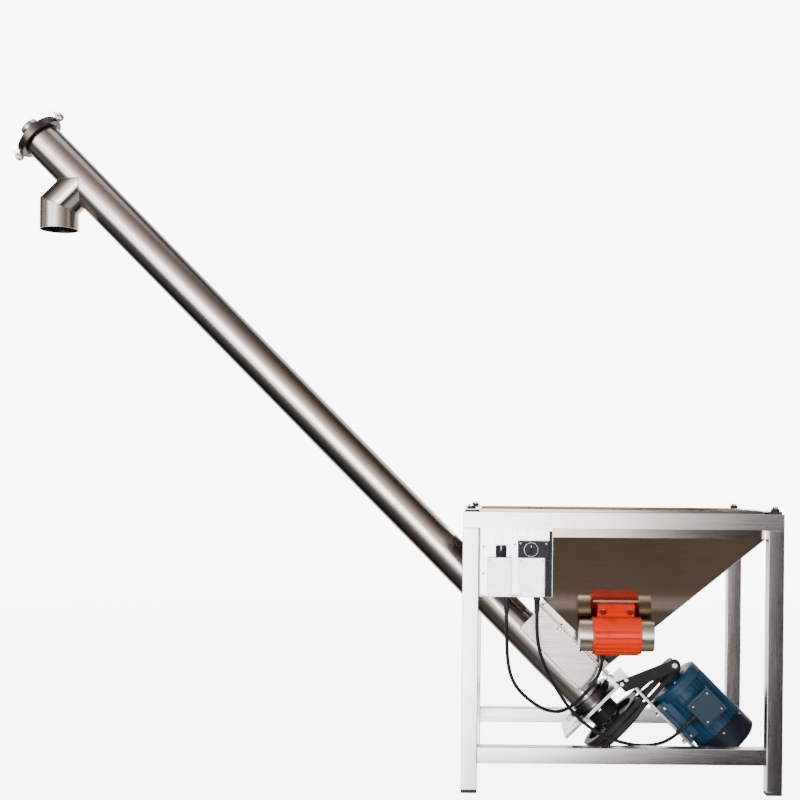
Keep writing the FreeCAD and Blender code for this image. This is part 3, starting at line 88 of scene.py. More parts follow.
CABLE_RADIUS = 0.0045
VIBRATOR_ROUTE = [
    (-0.2895, -0.288, 0.470), (-0.2895, -0.288, 0.424), (-0.288, -0.270, 0.368),
    (-0.284, -0.248, 0.308), (-0.268, -0.224, 0.258), (-0.232, -0.200, 0.217),
    (-0.187, -0.180, 0.186), (-0.146, -0.160, 0.178), (-0.112, -0.134, 0.192),
    (-0.082, -0.112, 0.216), (-0.058, -0.102, 0.242), (-0.042, -0.106, 0.270),
    (-0.036, -0.1202, 0.2990), (-0.036, -0.1362, 0.3244)]
MOTOR_ROUTE = [
    (-0.2135, -0.288, 0.470), (-0.2135, -0.288, 0.424), (-0.211, -0.270, 0.379),
    (-0.202, -0.250, 0.337), (-0.184, -0.230, 0.292), (-0.158, -0.210, 0.245),
    (-0.131, -0.194, 0.202), (-0.097, -0.180, 0.163), (-0.054, -0.168, 0.129),
    (-0.004, -0.160, 0.105), (0.058, -0.153, 0.091), (0.112, -0.134, 0.092),
    (0.148, -0.112, 0.103), (0.1739, -0.0975, 0.1203), (0.2022, -0.0975, 0.1486)]


def placed(route):
    """The points of a route in the row frame."""
    return [Vector(point) + Vector((MIDDLE_X, 0, 0)) for point in route]


def cable(name, node, route):
    """A round cable on a smooth curve through its route."""
    points = placed(route)
    curve = bpy.data.curves.new(name, "CURVE")
    curve.dimensions = "3D"
    spline = curve.splines.new("NURBS")
    spline.points.add(len(points) - 1)
    for target, point in zip(spline.points, points):
        target.co = (*point, 1)
        target.radius = CABLE_RADIUS
    spline.order_u = 3
    spline.use_endpoint_u = True
    curve.resolution_u = 12
    curve.bevel_depth = 1
    curve.bevel_resolution = 5
    curve.use_fill_caps = True
    piece = bpy.data.objects.new(name, curve)
    scene.collection.objects.link(piece)
    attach(piece, ROOT)
    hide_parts(node)
    return piece


cables = [cable("vibrator_lead", "vibrator_cable", VIBRATOR_ROUTE),
          cable("motor_lead", "motor_cable", MOTOR_ROUTE)]


# Materials

# The colour sockets of a Mix node share their names with its other sockets
MIX_FACTOR, MIX_FIRST, MIX_SECOND, MIX_RESULT = 0, 6, 7, 2


def opaque(colour):
    """A colour with its alpha; an output of a node stays as it is."""
    return (*colour, 1) if isinstance(colour, tuple) else colour


class Nodes:
    """Adds nodes to a tree. An input is either a value or the output of another node."""

    def __init__(self, tree):
        self.tree = tree

    def feed(self, node, inputs):
        for name, value in inputs.items():
            if isinstance(value, bpy.types.NodeSocket):
                self.tree.links.new(value, node.inputs[name])
            else:
                node.inputs[name].default_value = value

    def add(self, kind, inputs=None, **settings):
        node = self.tree.nodes.new("ShaderNode" + kind)
        for name, value in settings.items():
            setattr(node, name, value)
        self.feed(node, inputs or {})
        return node

    def mix(self, factor, first, second, way="MIX"):
        inputs = {MIX_FACTOR: factor, MIX_FIRST: opaque(first), MIX_SECOND: opaque(second)}
        return self.add("Mix", inputs, data_type="RGBA", blend_type=way).outputs[MIX_RESULT]

    def spread(self, source, low, high, start=0.3, end=0.7):
        """The source as it goes from start to end, turned into a value from low to high."""
        inputs = {"Value": source, "From Min": start, "From Max": end, "To Min": low,
                  "To Max": high}
        return self.add("MapRange", inputs).outputs["Result"]


class Look(Nodes):
    """A material with its shader, in the coordinates of the row frame."""

    def __init__(self, name, colour, roughness, metallic=0.0):
        self.material = bpy.data.materials.new(name)
        self.material.use_nodes = True
        super().__init__(self.material.node_tree)
        self.shader = self.tree.nodes["Principled BSDF"]
        self.feed(self.shader, {"Base Color": opaque(colour), "Roughness": roughness,
                                "Metallic": metallic})
        self.place = self.add("TexCoord").outputs["Object"]

    def noise(self, scale, detail, rotation=(0, 0, 0), stretch=(1, 1, 1)):
        """Noise that is stretched by a factor on each axis, and then turned."""
        mapping = self.add("Mapping", {"Vector": self.place, "Rotation": rotation,
                                       "Scale": stretch})
        texture = self.add("TexNoise", {"Vector": mapping.outputs["Vector"], "Scale": scale,
                                        "Detail": detail})
        return texture.outputs["Fac"]

    def bump(self, height, strength, distance):
        bump = self.add("Bump", {"Height": height, "Strength": strength, "Distance": distance})
        self.feed(self.shader, {"Normal": bump.outputs["Normal"]})


def brushed(name, colour, dark, roughness, stretch, grain=1.0, streak=0.05, rotation=(0, 0, 0)):
    """Metal with a grain along the axis that is stretched least, and faint stains.

    grain is the depth of the lines, streak their effect on the gloss.
    """
    look = Look(name, colour, roughness, metallic=1.0)
    lines = look.noise(scale=1, detail=2, rotation=rotation, stretch=stretch)
    stains = look.noise(scale=5, detail=5)
    half_colour = tuple(0.5 * value for value in colour)
    base = look.mix(look.spread(stains, 0, 0.8, start=0.4, end=0.8), colour, dark)
    base = look.mix(look.spread(lines, 0, 0.22, start=0.3, end=0.8), base, half_colour)
    gloss = look.spread(lines, roughness - streak, roughness + streak)
    look.feed(look.shader, {"Base Color": base, "Roughness": gloss})
    look.bump(lines, strength=0.02 * grain, distance=0.2 * MM)
    return look.material


def painted(name, colour, roughness, worn, coat=0.0, specular=0.3):
    """Paint with a fine skin and worn patches, and a coat where it is glossy."""
    look = Look(name, colour, roughness)
    patches = look.noise(scale=26, detail=6)
    base = look.mix(look.spread(patches, 0, 1, start=0.52, end=0.82), colour, worn)
    gloss = look.spread(patches, roughness - 0.06, roughness + 0.12)
    look.feed(look.shader, {"Base Color": base, "Roughness": gloss, "Specular IOR Level": specular,
                            "Coat Weight": coat, "Coat Roughness": 0.12})
    look.bump(look.noise(scale=420, detail=2), strength=0.15, distance=0.3 * MM)
    return look.material


def moulded(name, colour, roughness, grain, specular=0.5):
    """Rubber or plastic with a fine grain and slightly uneven colour and gloss."""
    look = Look(name, colour, roughness)
    patches = look.noise(scale=40, detail=4)
    lighter = tuple(min(1.0, 1.5 * value + 0.004) for value in colour)
    base = look.mix(look.spread(patches, 0, 1), colour, lighter)
    gloss = look.spread(patches, roughness - 0.05, roughness + 0.1)
    look.feed(look.shader, {"Base Color": base, "Roughness": gloss, "Specular IOR Level": specular})
    look.bump(look.noise(scale=grain, detail=2), strength=0.25, distance=0.4 * MM)
    return look.material


STEEL, STEEL_DARK = (0.64, 0.61, 0.60), (0.46, 0.42, 0.40)
# The noise of the sloping pieces is turned after it is stretched, so their grain stays level
TURNED = {"rotation": (0, math.radians(45), 0)}
BAR = {"grain": 0.2, "streak": 0.02}
materials = {
    # Bare steel: name, colour, colour of the stains, roughness, stretch
    "tube": brushed("tube_steel", (0.62, 0.565, 0.53), (0.52, 0.46, 0.42), 0.20, (14, 420, 420),
                    **TURNED),
    "upright": brushed("upright_steel", STEEL, STEEL_DARK, 0.16, (420, 420, 10), **BAR),
    "level": brushed("level_steel", STEEL, STEEL_DARK, 0.16, (10, 420, 420), **BAR),
    "cross": brushed("cross_steel", STEEL, STEEL_DARK, 0.24, (420, 10, 420)),
    # The hopper's sheet is darker and browner than the tube's steel: painted shade that dims what
    # it mirrors
    "sheet": brushed("sheet_steel_painted_shade", (0.36, 0.30, 0.255), (0.28, 0.23, 0.19), 0.12, (8, 160, 160),
                     streak=0.02),
    # The tray's steel is whiter than the rest: painted light for the bright wall it mirrors
    "tray": brushed("tray_steel_painted_light", (0.90, 0.89, 0.92), (0.80, 0.78, 0.80), 0.24, (420, 420, 10)),
    "box": brushed("box_steel", (0.40, 0.365, 0.355), (0.30, 0.27, 0.26), 0.22, (14, 420, 420),
                   **TURNED),
    "plate": brushed("plate_steel", (0.56, 0.55, 0.56), STEEL_DARK, 0.22, (12, 420, 420),
                     **TURNED),
    "pipe": brushed("turned_steel", (0.56, 0.52, 0.49), STEEL_DARK, 0.20, (12, 300, 300),
                    **TURNED),
    # The clamp's steel is near black: painted shade for the dark that falls in its V-shaped section
    "clamp": brushed("clamp_steel_painted_shade", (0.11, 0.10, 0.097), (0.06, 0.055, 0.055), 0.28,
                     (12, 300, 300), **TURNED),
    "bright": brushed("bright_steel", (0.72, 0.71, 0.69), (0.5, 0.48, 0.45), 0.25,
                      (200, 200, 200), grain=0.5),
    "cap": brushed("cap_steel", (0.80, 0.78, 0.66), (0.62, 0.60, 0.50), 0.30, (12, 300, 300)),
    "bead": brushed("weld_steel", (0.44, 0.40, 0.38), (0.26, 0.22, 0.22), 0.34, (300, 300, 300),
                    grain=6.0),
    # Rubber and plastic: name, colour, roughness, grain
    "rubber": moulded("black_rubber", (0.007, 0.007, 0.008), 0.55, 600, specular=0.2),
    "belt": moulded("belt_rubber", (0.007, 0.0065, 0.0065), 0.62, 900, specular=0.2),
    "cable": moulded("cable_cover", (0.004, 0.004, 0.005), 0.42, 500, specular=0.2),
    "plastic": moulded("black_plastic", (0.006, 0.006, 0.008), 0.42, 700, specular=0.12),
    "unit": moulded("unit_plastic", (0.82, 0.81, 0.94), 0.36, 800),
    "mark": moulded("white_mark", (0.80, 0.80, 0.78), 0.45, 900),
    # Paint: name, colour, roughness, colour of the worn patches
    "iron": painted("black_paint", (0.005, 0.0045, 0.005), 0.38, (0.016, 0.014, 0.013),
                    specular=0.12),
    "motor": painted("motor_paint", (0.0045, 0.018, 0.036), 0.36, (0.010, 0.028, 0.045), coat=0.05),
    # The lid's blue is a darker copy of the motor's: painted shade that holds back the light its
    # face catches
    "lid": painted("lid_paint", (0.004, 0.012, 0.019), 0.40, (0.008, 0.020, 0.028), coat=0.05),
    "cowl": painted("cowl_paint", (0.0012, 0.0022, 0.006), 0.40, (0.003, 0.005, 0.011)),
    "orange": painted("vibrator_paint", (0.34, 0.011, 0.0003), 0.38, (0.22, 0.007, 0.0003),
                      coat=0.05),
}

DRESS = {
    "tube": ("conveyor_tube",),
    "box": ("inlet_box",),
    "upright": LEGS,
    "level": LONG_RAILS,
    "cross": SIDE_RAILS,
    "sheet": ("hopper",),
    "tray": ("control_tray",),
    "plate": ("drive_plate", "motor_plate", "hopper_flange", "inlet_flange"),
    "clamp": ("clamp_halves", "tube_ferrules", "end_cover", "bearing_cap"),
    "pipe": ("discharge_spout", "screw_flight", "screw_shaft"),
    "bright": ("corner_bolts", "flange_bolts", "clamp_bolts", "drive_bolts", "vibrator_bolts",
               "motor_shaft", "top_bearing", "lower_bearings", "vibrator_rotor"),
    "cap": ("vibrator_caps",),
    "rubber": ("foot_caps", "hopper_cushions", "joint_gaskets", "shaft_seal"),
    "belt": ("drive_belts",),
    "plastic": ("cable_glands", "speed_knob", "switch_block", "switch_handle", "cooling_fan"),
    "unit": UNITS,
    "iron": ("bearing_housing", "guard_arm", "large_pulley", "small_pulley"),
    "motor": ("motor_housing", "motor_front_shield", "terminal_box"),
    "lid": ("terminal_lid",),
    "cowl": ("fan_cowl",),
    "orange": ("vibrator_body",),
}
ROUND_EDGES = {
    1.6 * MM: (*LEGS, *LONG_RAILS, *SIDE_RAILS, *UNITS, "vibrator_body", "terminal_lid",
               "terminal_box", "foot_caps", "switch_block"),
    0.8 * MM: ("drive_plate", "motor_plate", "guard_arm", "clamp_halves", "bearing_housing",
               "speed_knob", "vibrator_caps", "fan_cowl", "motor_front_shield", "large_pulley",
               "small_pulley", "end_cover", "bearing_cap", "control_tray", "hopper_cushions"),
    0.4 * MM: ("corner_bolts", "flange_bolts", "clamp_bolts", "drive_bolts", "vibrator_bolts",
               "motor_housing", "hopper_flange", "inlet_flange", "tube_ferrules", "switch_handle",
               "cable_glands"),
}
SHARP = math.radians(35)

for look, names in DRESS.items():
    for name in names:
        nodes[name].data.materials.clear()
        nodes[name].data.materials.append(materials[look])
for width, names in ROUND_EDGES.items():
    for name in names:
        weld = nodes[name].modifiers.new("weld", "WELD")
        weld.merge_threshold = 0.01 * MM
        bevel = nodes[name].modifiers.new("edges", "BEVEL")
        bevel.width = width
        bevel.segments = 2
        bevel.limit_method = "ANGLE"
        bevel.angle_limit = SHARP
        bevel.use_clamp_overlap = True
        smooth = nodes[name].modifiers.new("normals", "WEIGHTED_NORMAL")
        smooth.keep_sharp = False
for piece in cables:
    piece.data.materials.append(materials["cable"])


# Small pieces that the solids leave out: weld beads, screws, the upper bearing's cover, the marks
# and ribs of knob and switch, the reliefs of the cables and a cable duct

joints = {joint["name"]: joint for joint in frame["joints"]}
TUBE_START = Vector(joints["screw_turn"]["pos_m"])
ALONG = Vector(joints["screw_turn"]["axis"]).normalized()
ACROSS = Vector((ALONG.z, 0, -ALONG.x))
MOTOR_START = Vector(joints["motor_turn"]["pos_m"])


def tube_spot(across, y, along):
    """A place in the frame of the conveyor tube, from the lower end of its axis."""
    return TUBE_START + ACROSS * across + AWAY * y + ALONG * along


def middle_of(node):
    low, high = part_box(node)
    return (low + high) / 2


def turns(count):
    """Angles evenly around a full turn."""
    return [2 * math.pi * step / count for step in range(count)]


def circle(centre, side, other, radius, count):
    """Points on a circle, from one side of its centre towards the other."""
    return [centre + radius * (math.cos(angle) * side + math.sin(angle) * other)
            for angle in turns(count)]


def square_to(way):
    """Two directions square to the way and to each other."""
    side = way.orthogonal().normalized()
    return side, way.cross(side)


def ring_of(mesh, points):
    return [mesh.verts.new(point) for point in points]


def skin(mesh, rings):
    """Faces from each ring to the next."""
    for near, far in zip(rings, rings[1:]):
        for step in range(len(near)):
            after = (step + 1) % len(near)
            mesh.faces.new((near[step], near[after], far[after], far[step]))


def add_piece(name, mesh, look, body=ROOT, smooth=True):
    """A mesh made into a piece that rides on a body."""
    data = bpy.data.meshes.new(name)
    bmesh.ops.recalc_face_normals(mesh, faces=mesh.faces)
    mesh.to_mesh(data)
    mesh.free()
    for face in data.polygons:
        face.use_smooth = smooth
    data.materials.append(materials[look])
    piece = bpy.data.objects.new(name, data)
    scene.collection.objects.link(piece)
    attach(piece, body)
    return piece


def sweep(mesh, points, radii, closed=False, sides=8):
    """A rod through the points, with a radius at each one."""
    rings = []
    side = None
    for index, (point, radius) in enumerate(zip(points, radii)):
        before = points[index - 1] if index or closed else point
        after = points[(index + 1) % len(points)] if index + 1 < len(points) or closed else point
        way = (after - before).normalized()
        if side is None:
            side = way.orthogonal()
        side = (side - way * side.dot(way)).normalized()
        rings.append(ring_of(mesh, circle(point, side, way.cross(side), radius, sides)))
    if closed:
        skin(mesh, rings + rings[:1])
    else:
        skin(mesh, rings)
        mesh.faces.new(rings[0])
        mesh.faces.new(rings[-1][::-1])


def rod(name, points, look, body, radius, sides):
    """A piece that is one rod of even thickness; its radius is in mm."""
    mesh = bmesh.new()
    sweep(mesh, points, [radius * MM] * len(points), sides=sides)
    add_piece(name, mesh, look, body)


# Weld beads

BEAD_RADIUS, BEAD_STEP, BEAD_SIDES = 1.3 * MM, 1.5 * MM, 6
# Two waves of ripples: the share of the radius, and the turn in radians from step to step
RIPPLES = ((0.22, 1.6), (0.08, 0.37))
SEAM_POINTS, HALF_SEAM_STEPS = 96, 24
pipe_low, pipe_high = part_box("conveyor_tube")
PIPE_RADIUS = (pipe_high.y - pipe_low.y) / 2
# Along the tube: the branch of the spout and the two ends of the inlet box
SPOUT_PLACE = 1979 * MM
MOUTH_LOW, MOUTH_HIGH = 50 * MM, 286 * MM
# From the tube's axis to the bend of the spout
SPOUT_DROP = 93 * MM


def bead(mesh, corners, closed=False):
    """A weld bead along a line of corners, with the small ripples of its drops."""
    corners = corners + corners[:1] if closed else corners
    points = []
    for start, end in zip(corners, corners[1:]):
        count = max(1, round((end - start).length / BEAD_STEP))
        points += [start.lerp(end, step / count) for step in range(count)]
    if not closed:
        points.append(corners[-1])
    radii = [BEAD_RADIUS * (1 + sum(share * math.sin(turn * index) for share, turn in RIPPLES))
             for index in range(len(points))]
    sweep(mesh, points, radii, closed, BEAD_SIDES)


# The branch and the tube have one radius, so their seam is two halves of an ellipse
tube_welds = bmesh.new()
bead(tube_welds, [tube_spot(-abs(PIPE_RADIUS * math.cos(angle)), PIPE_RADIUS * math.sin(angle),
                            SPOUT_PLACE + PIPE_RADIUS * math.cos(angle))
                  for angle in turns(SEAM_POINTS)], closed=True)
for side in (-1, 1):
    bead(tube_welds, [tube_spot(0, side * PIPE_RADIUS, along) for along in (MOUTH_LOW, MOUTH_HIGH)])
half_turn = [math.pi * step / HALF_SEAM_STEPS - math.pi / 2 for step in range(HALF_SEAM_STEPS + 1)]
for along in (MOUTH_LOW, MOUTH_HIGH):
    bead(tube_welds, [tube_spot(PIPE_RADIUS * math.cos(angle), PIPE_RADIUS * math.sin(angle), along)
                      for angle in half_turn])
add_piece("tube_welds", tube_welds, "bead")

# The plane of the mitre halves the spout's bend, so this seam is an ellipse too
mitre = bmesh.new()
bend = tube_spot(-SPOUT_DROP, 0, SPOUT_PLACE)
down, branch = -UP, -ACROSS
spine = (down - branch).normalized()
long_radius = PIPE_RADIUS / math.cos(down.angle(branch) / 2)
bead(mitre, [bend + spine * (long_radius * math.cos(angle)) + AWAY * (PIPE_RADIUS * math.sin(angle))
             for angle in turns(SEAM_POINTS)], closed=True)
add_piece("spout_weld", mitre, "pipe")

# The hopper's four edges run from the corners of its skirt to its mouth and on down the neck
SKIRT_INSET, SKIRT_DROP = 41 * MM, 63 * MM
MOUTH_LEVEL, NECK = 103 * MM, 17 * MM
rail_low, rail_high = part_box("top_rail_front")
skirt_x = (rail_high.x - rail_low.x) / 2 - SKIRT_INSET
skirt_y = -rail_low.y - SKIRT_INSET
hopper_welds = bmesh.new()
for side, along in ((-1, MOUTH_HIGH), (1, MOUTH_LOW)):
    for end in (-1, 1):
        bead(hopper_welds, [
            Vector((MIDDLE_X + side * skirt_x, end * skirt_y, rail_high.z - SKIRT_DROP)),
            tube_spot(MOUTH_LEVEL, end * PIPE_RADIUS, along),
            tube_spot(MOUTH_LEVEL - NECK, end * PIPE_RADIUS, along)])
add_piece("hopper_welds", hopper_welds, "bead")

# On the inner faces of each leg: around its top, and above and below the lower rail. The beads
# stop just short of the outer faces.
OFF_FACE, SHORT_OF_EDGE = 0.4 * MM, 0.996
frame_welds = bmesh.new()
for name in LEGS:
    low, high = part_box(name)
    on_left, in_front = low.x < MIDDLE_X, low.y < 0
    x, far_x = (high.x + OFF_FACE, low.x) if on_left else (low.x - OFF_FACE, high.x)
    y, far_y = (high.y + OFF_FACE, low.y) if in_front else (low.y - OFF_FACE, high.y)
    bead(frame_welds, [Vector((x, far_y * SHORT_OF_EDGE, high.z)), Vector((x, y, high.z)),
                       Vector((far_x, y, high.z))])
    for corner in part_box("lower_rail_front" if in_front else "lower_rail_back"):
        bead(frame_welds, [Vector((x, SHORT_OF_EDGE * low.y, corner.z)),
                           Vector((x, SHORT_OF_EDGE * high.y, corner.z))])
add_piece("frame_welds", frame_welds, "bead")


# Screws

# From the rim to the socket of a screw's head: shares of its radius and of its height
HEAD_PROFILE = ((1, 0), (1, 0.45), (0.86, 0.85), (0.62, 1), (0.42, 1), (0.38, 0.35))
HEAD_SIDES = 20


def screws(name, spots, way, head):
    """A piece of domed heads with sunk sockets; head is their radius and height in mm."""
    radius, height = head[0] * MM, head[1] * MM
    side, other = square_to(way)
    mesh = bmesh.new()
    for spot in spots:
        rings = [ring_of(mesh, circle(spot + way * (height * up), side, other, radius * out,
                                      HEAD_SIDES))
                 for out, up in HEAD_PROFILE]
        skin(mesh, rings)
        mesh.faces.new(rings[-1])
    add_piece(name, mesh, "bright")


def face_corners(node, inset):
    """Four places near the corners of a node's front face."""
    low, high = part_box(node)
    return [Vector((x, low.y, z)) for x in (low.x + inset, high.x - inset)
            for z in (low.z + inset, high.z - inset)]


UNIT_INSET = 5.5 * MM
screws("unit_screws", [spot for unit in UNITS for spot in face_corners(unit, UNIT_INSET)], FRONT,
       head=(2.2, 1.1))

TRAY_SHEET, TRAY_INSET, UNIT_SPACE = 1.5 * MM, 11 * MM, 7 * MM
tray_low, tray_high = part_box("control_tray")
unit_low, unit_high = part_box("feed_controller")
tray_face = tray_high.y - TRAY_SHEET
tray_left = tray_low.x + TRAY_INSET
screws("tray_screws", [Vector((x, tray_face, tray_low.z + rise * MM))
                       for x, rise in ((tray_left, 56), (tray_left, 124),
                                       (unit_high.x + UNIT_SPACE, 130))], FRONT, head=(3.2, 1.8))

# The lid of the terminal box lies square to the tube, so half its side is that of its box divided
# by root two. Its screws are a little closer across the tube than along it.
LID_INSET, LID_CLOSER = 5.5 * MM, 0.93
lid_low, lid_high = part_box("terminal_lid")
lid_middle = middle_of("terminal_lid")
lid_reach = (lid_high.x - lid_low.x) / (2 * math.sqrt(2)) - LID_INSET
screws("lid_screws", [Vector((lid_middle.x, lid_low.y, lid_middle.z))
                      + i * LID_CLOSER * lid_reach * ACROSS + j * lid_reach * ALONG
                      for i in (-1, 1) for j in (-1, 1)], FRONT, head=(2.6, 1.2))

# Behind the motor's front end, which is where its joint is
COWL_PLACE, COWL_FACE = 292 * MM, 76.7 * MM
for index, degrees in enumerate((-150, -90, -30, 30, 90, 150)):
    outward = AWAY * math.sin(math.radians(degrees)) + ACROSS * math.cos(math.radians(degrees))
    screws("cowl_screw_%d" % (index + 1), [MOTOR_START - ALONG * COWL_PLACE + outward * COWL_FACE],
           outward, head=(3.2, 1.6))
SHIELD_PLACE, SHIELD_BOLTS = 108 * MM, 58 * MM
screws("shield_screws", [MOTOR_START - ALONG * SHIELD_PLACE + spoke * SHIELD_BOLTS
                         for spoke in (ACROSS, -ACROSS, AWAY, FRONT)], ALONG, head=(4, 2.4))


# The cover of the upper bearing stands out past the clamp, further than the cap of the solids

COVER_START, COVER_END, COVER_RADIUS, COVER_BOLTS, COVER_SIDES = 2180.3, 2194, 26, 22, 64
# Radius and place along the tube, in mm: from the foot over a rounded rim to the sunk face
COVER_PROFILE = (
    (COVER_RADIUS - 1.5, COVER_START), (COVER_RADIUS - 1.5, COVER_START + 2),
    (COVER_RADIUS, COVER_START + 2.5), (COVER_RADIUS, COVER_END - 2.5),
    (COVER_RADIUS - 0.8, COVER_END - 0.8), (COVER_RADIUS - 2.5, COVER_END),
    (COVER_RADIUS - 7, COVER_END), (COVER_RADIUS - 7.6, COVER_END - 1), (4, COVER_END - 1))
cover = bmesh.new()
cover_rings = [ring_of(cover, circle(tube_spot(0, 0, along * MM), ACROSS, AWAY, radius * MM,
                                     COVER_SIDES)) for radius, along in COVER_PROFILE]
skin(cover, cover_rings)
cover.faces.new(cover_rings[0])
cover.faces.new(cover_rings[-1])
cover_piece = add_piece("bearing_cover", cover, "pipe")
cover_piece.modifiers.new("edges", "EDGE_SPLIT").split_angle = SHARP
third_turns = (ACROSS * 0.5 + AWAY * 0.866, ACROSS * 0.5 - AWAY * 0.866, -ACROSS)
screws("cover_screws", [tube_spot(0, 0, COVER_END * MM) + spoke * COVER_BOLTS * MM
                        for spoke in third_turns], ALONG, head=(1.5, 0.8))


# The knob's axis is upright: ribs around its skirt, and a pointer over its top and down its front

KNOB_RADIUS, KNOB_RIBS = 13 * MM, 28
KNOB_RIB_DEPTH, KNOB_RIB_LENGTH, KNOB_RIB_RADII = 26 * MM, 23 * MM, (0.9 * MM, 0.7 * MM)
POINTER_SUNK, POINTER_START, POINTER_PROUD, POINTER_DROP = 0.2 * MM, 3 * MM, 0.6 * MM, 12 * MM
knob_middle = middle_of("speed_knob")
knob_top = Vector((knob_middle.x, knob_middle.y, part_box("speed_knob")[1].z))
ribs = bmesh.new()
for foot in circle(knob_top - UP * KNOB_RIB_DEPTH, Vector((1, 0, 0)), AWAY, KNOB_RADIUS, KNOB_RIBS):
    sweep(ribs, [foot, foot + UP * KNOB_RIB_LENGTH], KNOB_RIB_RADII, sides=6)
add_piece("knob_ribs", ribs, "plastic", "speed_knob")
pointer_middle = knob_top - UP * POINTER_SUNK
pointer_bend = pointer_middle + FRONT * (KNOB_RADIUS + POINTER_PROUD)
rod("knob_pointer", [pointer_middle + FRONT * POINTER_START, pointer_bend,
                     pointer_bend - UP * POINTER_DROP],
    "mark", "speed_knob", radius=0.7, sides=6)


# The switch: an upright grip with a mark on its handle, a bezel and two screws on its block

BEZEL_RADIUS, BEZEL_POINTS, BEZEL_THICKNESS = 17 * MM, 64, 1.2 * MM
BLOCK_INSET, BLOCK_DROP = 7 * MM, 6 * MM
handle_face, handle_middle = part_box("switch_handle")[0].y, middle_of("switch_handle")
block_low, block_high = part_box("switch_block")


def on_handle(out, rise):
    """A place in front of the handle's middle, in mm."""
    return Vector((handle_middle.x, handle_face - out * MM, handle_middle.z + rise * MM))


rod("switch_grip", [on_handle(out=0.6, rise=-11.5), on_handle(out=0.6, rise=11.5)],
    "plastic", "switch_handle", radius=2.6, sides=10)
rod("switch_mark", [on_handle(out=3.2, rise=5), on_handle(out=3.2, rise=11)],
    "mark", "switch_handle", radius=0.6, sides=6)
bezel = bmesh.new()
bezel_middle = Vector((handle_middle.x, block_low.y, handle_middle.z))
sweep(bezel, circle(bezel_middle, *square_to(FRONT), BEZEL_RADIUS, BEZEL_POINTS),
      [BEZEL_THICKNESS] * BEZEL_POINTS, closed=True)
add_piece("switch_bezel", bezel, "bright")
screws("switch_screws", [Vector((x, block_low.y, block_high.z - BLOCK_DROP))
                         for x in (block_low.x + BLOCK_INSET, block_high.x - BLOCK_INSET)], FRONT,
       head=(3, 1.4))


# A relief is a ribbed sleeve that tapers along the first stretch of a cable, and starts a little
# inside the gland

HIGH_RELIEF, LOW_RELIEF, RELIEF_SUNK = 26 * MM, 20 * MM, 2 * MM
RELIEF_STEPS, RELIEF_SIDES, RIB_STEPS = 52, 20, 8
# In mm: the sleeve's radius at its wide end, what it loses by the other, a rib and a groove
RELIEF_RADIUS, RELIEF_TAPER, RIB, GROOVE = 7.4, 2.2, 0.5, -0.1


def relief(name, start, way, length):
    points = [start + way * (length * step / RELIEF_STEPS) for step in range(RELIEF_STEPS + 1)]
    radii = [(RELIEF_RADIUS - RELIEF_TAPER * step / RELIEF_STEPS
              + (RIB if step % RIB_STEPS < RIB_STEPS / 2 else GROOVE)) * MM
             for step in range(RELIEF_STEPS + 1)]
    mesh = bmesh.new()
    sweep(mesh, points, radii, sides=RELIEF_SIDES)
    add_piece(name, mesh, "plastic")


for name, route in (("vibrator", VIBRATOR_ROUTE), ("motor", MOTOR_ROUTE)):
    points = placed(route)
    relief(name + "_relief_high", points[0] + UP * RELIEF_SUNK, -UP, HIGH_RELIEF)
    back = (points[-2] - points[-1]).normalized()
    relief(name + "_relief_low", points[-1] - back * RELIEF_SUNK, back, LOW_RELIEF)


# A slotted duct fills the tray on the right of the second unit and of the switch

DUCT_GAP, DUCT_DEPTH, DUCT_SLOT, DUCT_TOP = 0.8 * MM, 24 * MM, 3 * MM, 8 * MM
FINGER, FINGER_GAP, FINGER_DEPTH = 6 * MM, 2.5 * MM, 4 * MM
second_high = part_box("vibrator_controller")[1]
duct_front, duct_right = tray_face - DUCT_DEPTH, tray_high.x - TRAY_SHEET - DUCT_GAP
duct = bmesh.new()


def slab(mesh, low, high):
    """A box between two corners."""
    for vertex in bmesh.ops.create_cube(mesh, size=1)["verts"]:
        vertex.co = Vector(low[axis] if vertex.co[axis] < 0 else high[axis] for axis in range(3))


for x, z, top in ((second_high.x + DUCT_GAP, unit_low.z, block_low.z - DUCT_GAP),
                  (block_high.x + DUCT_GAP, block_low.z, tray_high.z - DUCT_TOP)):
    slab(duct, (x, duct_front + DUCT_SLOT, z), (duct_right, tray_face, top))
    while z + FINGER < top:
        slab(duct, (x, duct_front, z), (duct_right, duct_front + FINGER_DEPTH, z + FINGER))
        z += FINGER + FINGER_GAP
duct_piece = add_piece("tray_duct", duct, "plastic", smooth=False)
edges = duct_piece.modifiers.new("edges", "BEVEL")
edges.width, edges.segments = 0.4 * MM, 2


# Studio: a pale floor that fades into the backdrop, and soft lights in front, above and behind

FLOOR_RADIUS = 16
# How much of the floor is backdrop near the object, and where that starts and ends to grow to all
FLOOR_GLOW, FADE_START, FADE_END = 0.78, 1.6, 6.5
BACKDROP, BACKDROP_STRENGTH = (0.97, 0.97, 0.97), 9.0

floor_mesh = bmesh.new()
bmesh.ops.create_circle(floor_mesh, cap_ends=True, segments=96, radius=FLOOR_RADIUS)
floor_data = bpy.data.meshes.new("floor")
floor_mesh.to_mesh(floor_data)
floor_mesh.free()
floor = bpy.data.objects.new("floor", floor_data)
floor.visible_glossy = floor.visible_diffuse = False
scene.collection.objects.link(floor)
paint = Look("floor_paint", (0.86, 0.86, 0.86), 0.9)
reach = paint.add("VectorMath", {0: paint.place}, operation="LENGTH")
far = paint.spread(reach.outputs["Value"], FLOOR_GLOW, 1, start=FADE_START, end=FADE_END)
glow = paint.add("Emission", {"Color": opaque(BACKDROP), "Strength": BACKDROP_STRENGTH})
fade = paint.add("MixShader", {"Fac": far, 1: paint.shader.outputs["BSDF"],
                               2: glow.outputs["Emission"]})
paint.feed(paint.tree.nodes["Material Output"], {"Surface": fade.outputs["Shader"]})
floor_data.materials.append(paint.material)


